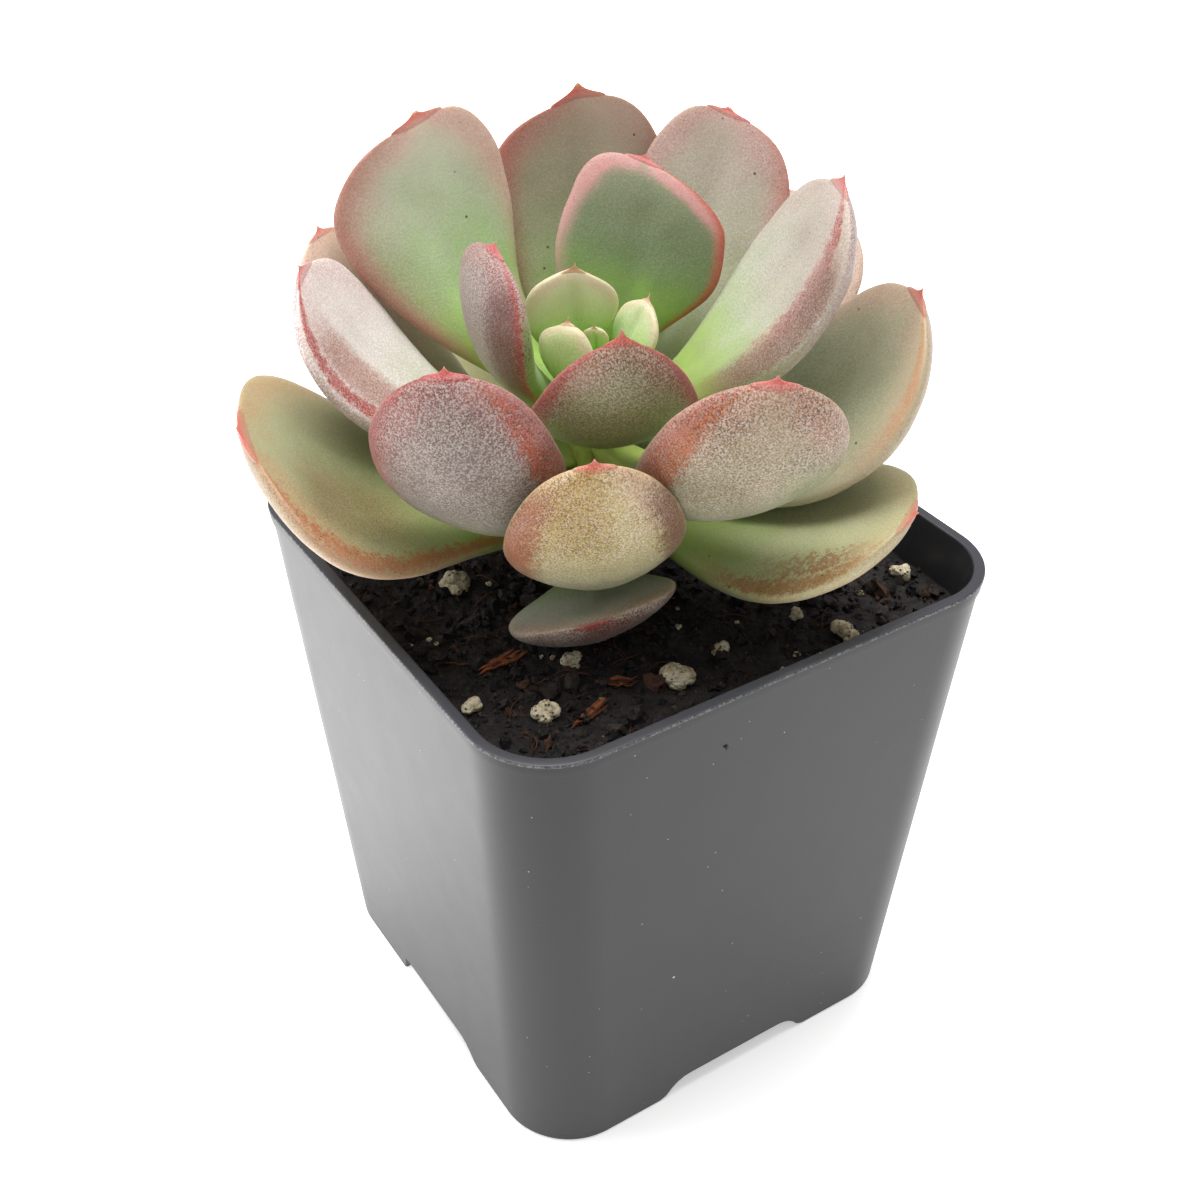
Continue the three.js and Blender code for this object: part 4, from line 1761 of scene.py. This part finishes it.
def lowest_leaves() -> list[Leaf]:
    """Lists the ring that lies over the potting mix.

    Returns:
        Its leaves. Their streaks' angles go round from the margin on the anticlockwise side.
    """
    low = "leaf_low"
    return [
        leaf("low_1", low, OLIVE, streaks=(Streak(350, 34),)),
        leaf("low_2", low, OLIVE, streaks=(Streak(200, 30),)),
        leaf(
            "low_3", low, OLIVE, face="748A48", belly="A08A5C", end="9A9478", dots_share=0.75,
            powder_share=0.55,
            streaks=(
                Streak(22, 15, 0.2, 1.0, "A85A30", 0.8, 0.2),
                Streak(66, 30, 0.5, 0.88, "6A5228", 0.7),
                Streak(0, 24, 0.3, ink="B88C74", strength=0.5),
            ),
        ),
        leaf(
            "low_4", low, OLIVE, face="98A284", belly="7E8070", end="8A7C72", powder="E8E4DE",
            powder_share=0.65, dots_share=0.9, streaks=(Streak(285, 50, 0.8, ink="8A3E3C", strength=0.8),),
        ),
        leaf(
            "low_5", low, OLIVE, face="80904C", belly="887E46", end="B0A880", powder="D0CCB4",
            powder_share=0.55, rim_share=0.2, freckles=0.08,
            streaks=(
                Streak(158, 16, 0.4, 0.96, "94602E", 0.8, 0.2),
                Streak(134, 12, 0.62, 0.9, "865028", 0.75, 0.25),
            ),
        ),
        leaf("low_6", low, OLIVE, streaks=(Streak(300, 30),)),
    ]


def outer_leaves() -> list[Leaf]:
    """Lists the outer and middle rings.

    Returns:
        Their leaves.
    """
    outer = "leaf_outer"
    return [
        leaf("outer_1", outer, MAUVE, belly="B8A694", end="C0A896", rim="C09080", powder="DCD2C8"),
        leaf(
            "outer_2", outer, MAUVE, face="C0AE94", belly="C8AC98", end="D0B29A", rim="CCAA96",
            powder="E6DCD0",
        ),
        leaf(
            "outer_3", outer, OLIVE, face="A89860", belly="9E9A5C", end="B8945A", powder="F2EEDC",
            powder_share=0.5, dots_share=0.7, rim_share=0.25, shade="A08848", clouds=0.4,
            streaks=(
                Streak(250, 36, 0.75, 1.1, "A07C24", 0.6),
                Streak(330, 34, 0.8, 1.1, "C0A08C", 0.5),
                Streak(270, 26, 0.2, 0.5, "A8AC80", 0.6),
                Streak(204, 28, 0.35, 0.92, "964608", 1.0, 0.3),
                Streak(336, 26, 0.3, 0.90, "6E3C10", 1.0, 0.3),
            ),
        ),
        leaf(
            "outer_4", outer, GREEN, LeafShape(cusp=0.5 * MM), foot="8A9A58", face="5C6C48", belly="98906C",
            end="A8A080", rim_share=0.35, powder="D0CCB8", powder_share=0.48,
            streaks=(
                Streak(166, 50, 0.3, ink="B2AA8A", strength=0.6),
                Streak(158, 14, 0.72, ink="B46E3C", strength=0.6),
            ),
        ),
        leaf("outer_5", outer, MAUVE),
        leaf(
            "middle_1", outer, MAUVE, LeafShape(lobe=1.3 * MM, lobe_turn=0), foot="7C8E4A", foot_reach=1.0,
            face="7E8860", end="B09488", rim="B4706C", rim_share=0.5, powder="C8C0BA", freckles=0.05,
            streaks=(Streak(180, 44, 0.4, ink="A85E50", strength=0.6),),
        ),
        leaf(
            "middle_2", outer, GREEN,
            LeafShape(cusp=0.6 * MM, cusp_reach=0.6, peak=0.5 * MM, peak_reach=0.2, lobe=1.0 * MM),
            foot="7EA03A", foot_reach=0.85, face="5E7A40", end="A89282", end_share=0.75, rim="A86058",
            powder="C0BCA6", powder_share=0.42,
            streaks=(
                Streak(0, 46, 0.5, ink="9A4C44", strength=0.7),
                Streak(125, 36, 0.7, ink="BCAA98", strength=0.5),
            ),
        ),
        leaf(
            "middle_3", outer, GREEN,
            LeafShape(cusp=0.5 * MM, lobe=1.9 * MM, lobe_turn=180, reach=-1.3 * MM, lean=1.5 * MM),
            foot="96B84A", foot_reach=0.85, face="62923F", end="CEC6B2", end_share=0.75, rim="CC8480",
            rim_share=0.6, powder="CCD0C0",
            streaks=(
                Streak(0, 44, 0.3, ink="AC504C", strength=0.8),
                Streak(8, 66, 0.35, ink="907460", strength=0.5),
            ),
        ),
        leaf(
            "middle_4", outer, MAUVE, face="B0B0A0", belly="CCB0B0", end="D8BCB8", powder="FFF8F6",
            powder_share=0.8, rim_share=0.3,
            streaks=(
                Streak(30, 13, 0.2, ink="BC4038", strength=0.95),
                Streak(58, 22, 0.35, 0.88, "A8685A", 0.75),
            ),
        ),
        leaf(
            "middle_5", outer, MAUVE, belly="5E5046", end="7A5A54", powder="D2CEC6", rim="A0504C",
            streaks=(
                Streak(328, 15, 0.62, 0.97, "A83C14", 1.0, 0.2),
                Streak(184, 32, 0.2, ink="A4443F", strength=0.8),
                Streak(348, 24, 0.45, 1.0, "A8605A", 0.7),
            ),
        ),
        leaf(
            "middle_6", outer, MAUVE, belly="6C6A46", end="A07A58", powder="DED8C8", rim="A86A58",
            streaks=(
                Streak(208, 20, 0.45, 0.98, "A8500F", 1.0, 0.2),
                Streak(188, 26, 0.2, ink="A0605C", strength=0.55),
                Streak(330, 50, 0.2, 0.8, "7C8A5A", 0.75),
            ),
        ),
        leaf(
            "middle_7", outer, MAUVE, LeafShape(cusp=0.9 * MM, point=0.3 * MM), foot="9CB656",
            foot_reach=0.75, face="80966A", belly="B8A4A0", end="B8A29C", powder="DAD4D0", powder_share=0.7,
            rim_share=0.25,
            streaks=(
                Streak(130, 13, 0.5, 1.0, "B03C2C", 0.95),
                Streak(146, 26, 0.25, 0.86, "744434", 0.85),
                Streak(100, 40, 0.55, 1.0, "BCAAA4", 0.5),
            ),
        ),
    ]


def inner_leaves() -> list[Leaf]:
    """Lists the inner ring, the buds and the heart.

    Returns:
        Their leaves.
    """
    inner, bud = "leaf_inner", "leaf_bud"
    return [
        leaf(
            "inner_1", inner, INNER, LeafShape(lobe=1.0 * MM, lobe_turn=0, lean=-1.4 * MM, taper=-0.10),
            end="968670", rim="CC8486", rim_share=0.75, rim_width=0.2,
            streaks=(
                Streak(180, 32, 0.2, ink="A44428", strength=0.9),
                Streak(0, 36, 0.4, ink="B08C82", strength=0.5),
            ),
        ),
        leaf(
            "inner_2", inner, MAUVE, foot="8CA850", face="7C9A54", belly="8C8070", end="9A827A",
            powder="C8C2BE",
            streaks=(
                Streak(8, 28, 0.0, 0.8, "86A25C", 0.85),
                Streak(338, 12, 0.2, 0.99, "AE3430", 1.0),
                Streak(320, 24, 0.25, 0.92, "6A3E32", 0.9),
            ),
        ),
        leaf(
            "inner_3", inner, INNER, LeafShape(cusp=0.8 * MM, peak=0.8 * MM, peak_reach=0.5, swell=0.08),
            foot="8CB02E", foot_reach=1.0, belly="56702A", end="8A6050", end_share=0.4, rim_share=0.4,
            dots="5A3026", dots_share=0.75, powder="E0D6CC", powder_share=0.42,
            streaks=(
                Streak(186, 30, 0.4, ink="A0403C", strength=0.9),
                Streak(354, 30, 0.4, ink="A0403C", strength=0.9),
            ),
        ),
        leaf("bud_1", bud, BUD, LeafShape(peak=0.5 * MM), end="F0E0C8", end_share=0.75, face="94CC40"),
        leaf("bud_2", bud, BUD, LeafShape(peak=0.4 * MM, lobe=0.5 * MM, lobe_turn=0)),
        leaf("bud_3", bud, BUD, LeafShape(peak=0.4 * MM), end="F0E8CC", powder="FAF2E0", powder_share=0.55),
        leaf("heart_1", bud, BUD),
    ]


def main() -> None:
    """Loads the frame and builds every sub-assembly."""
    logging.basicConfig(level=logging.INFO, format="%(message)s")
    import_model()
    effects = Effects()
    Studio().build(effects)
    pot = NurseryPot()
    made = [pot.build(effects), Stem().build(effects)]
    made += PottingMix(pot).build(effects)
    made += [one.build(effects) for one in (*lowest_leaves(), *outer_leaves(), *inner_leaves())]
    for piece in made:
        log.info("%s: %d faces", piece.name, len(piece.data.polygons))


if __name__ == "__main__":
    main()
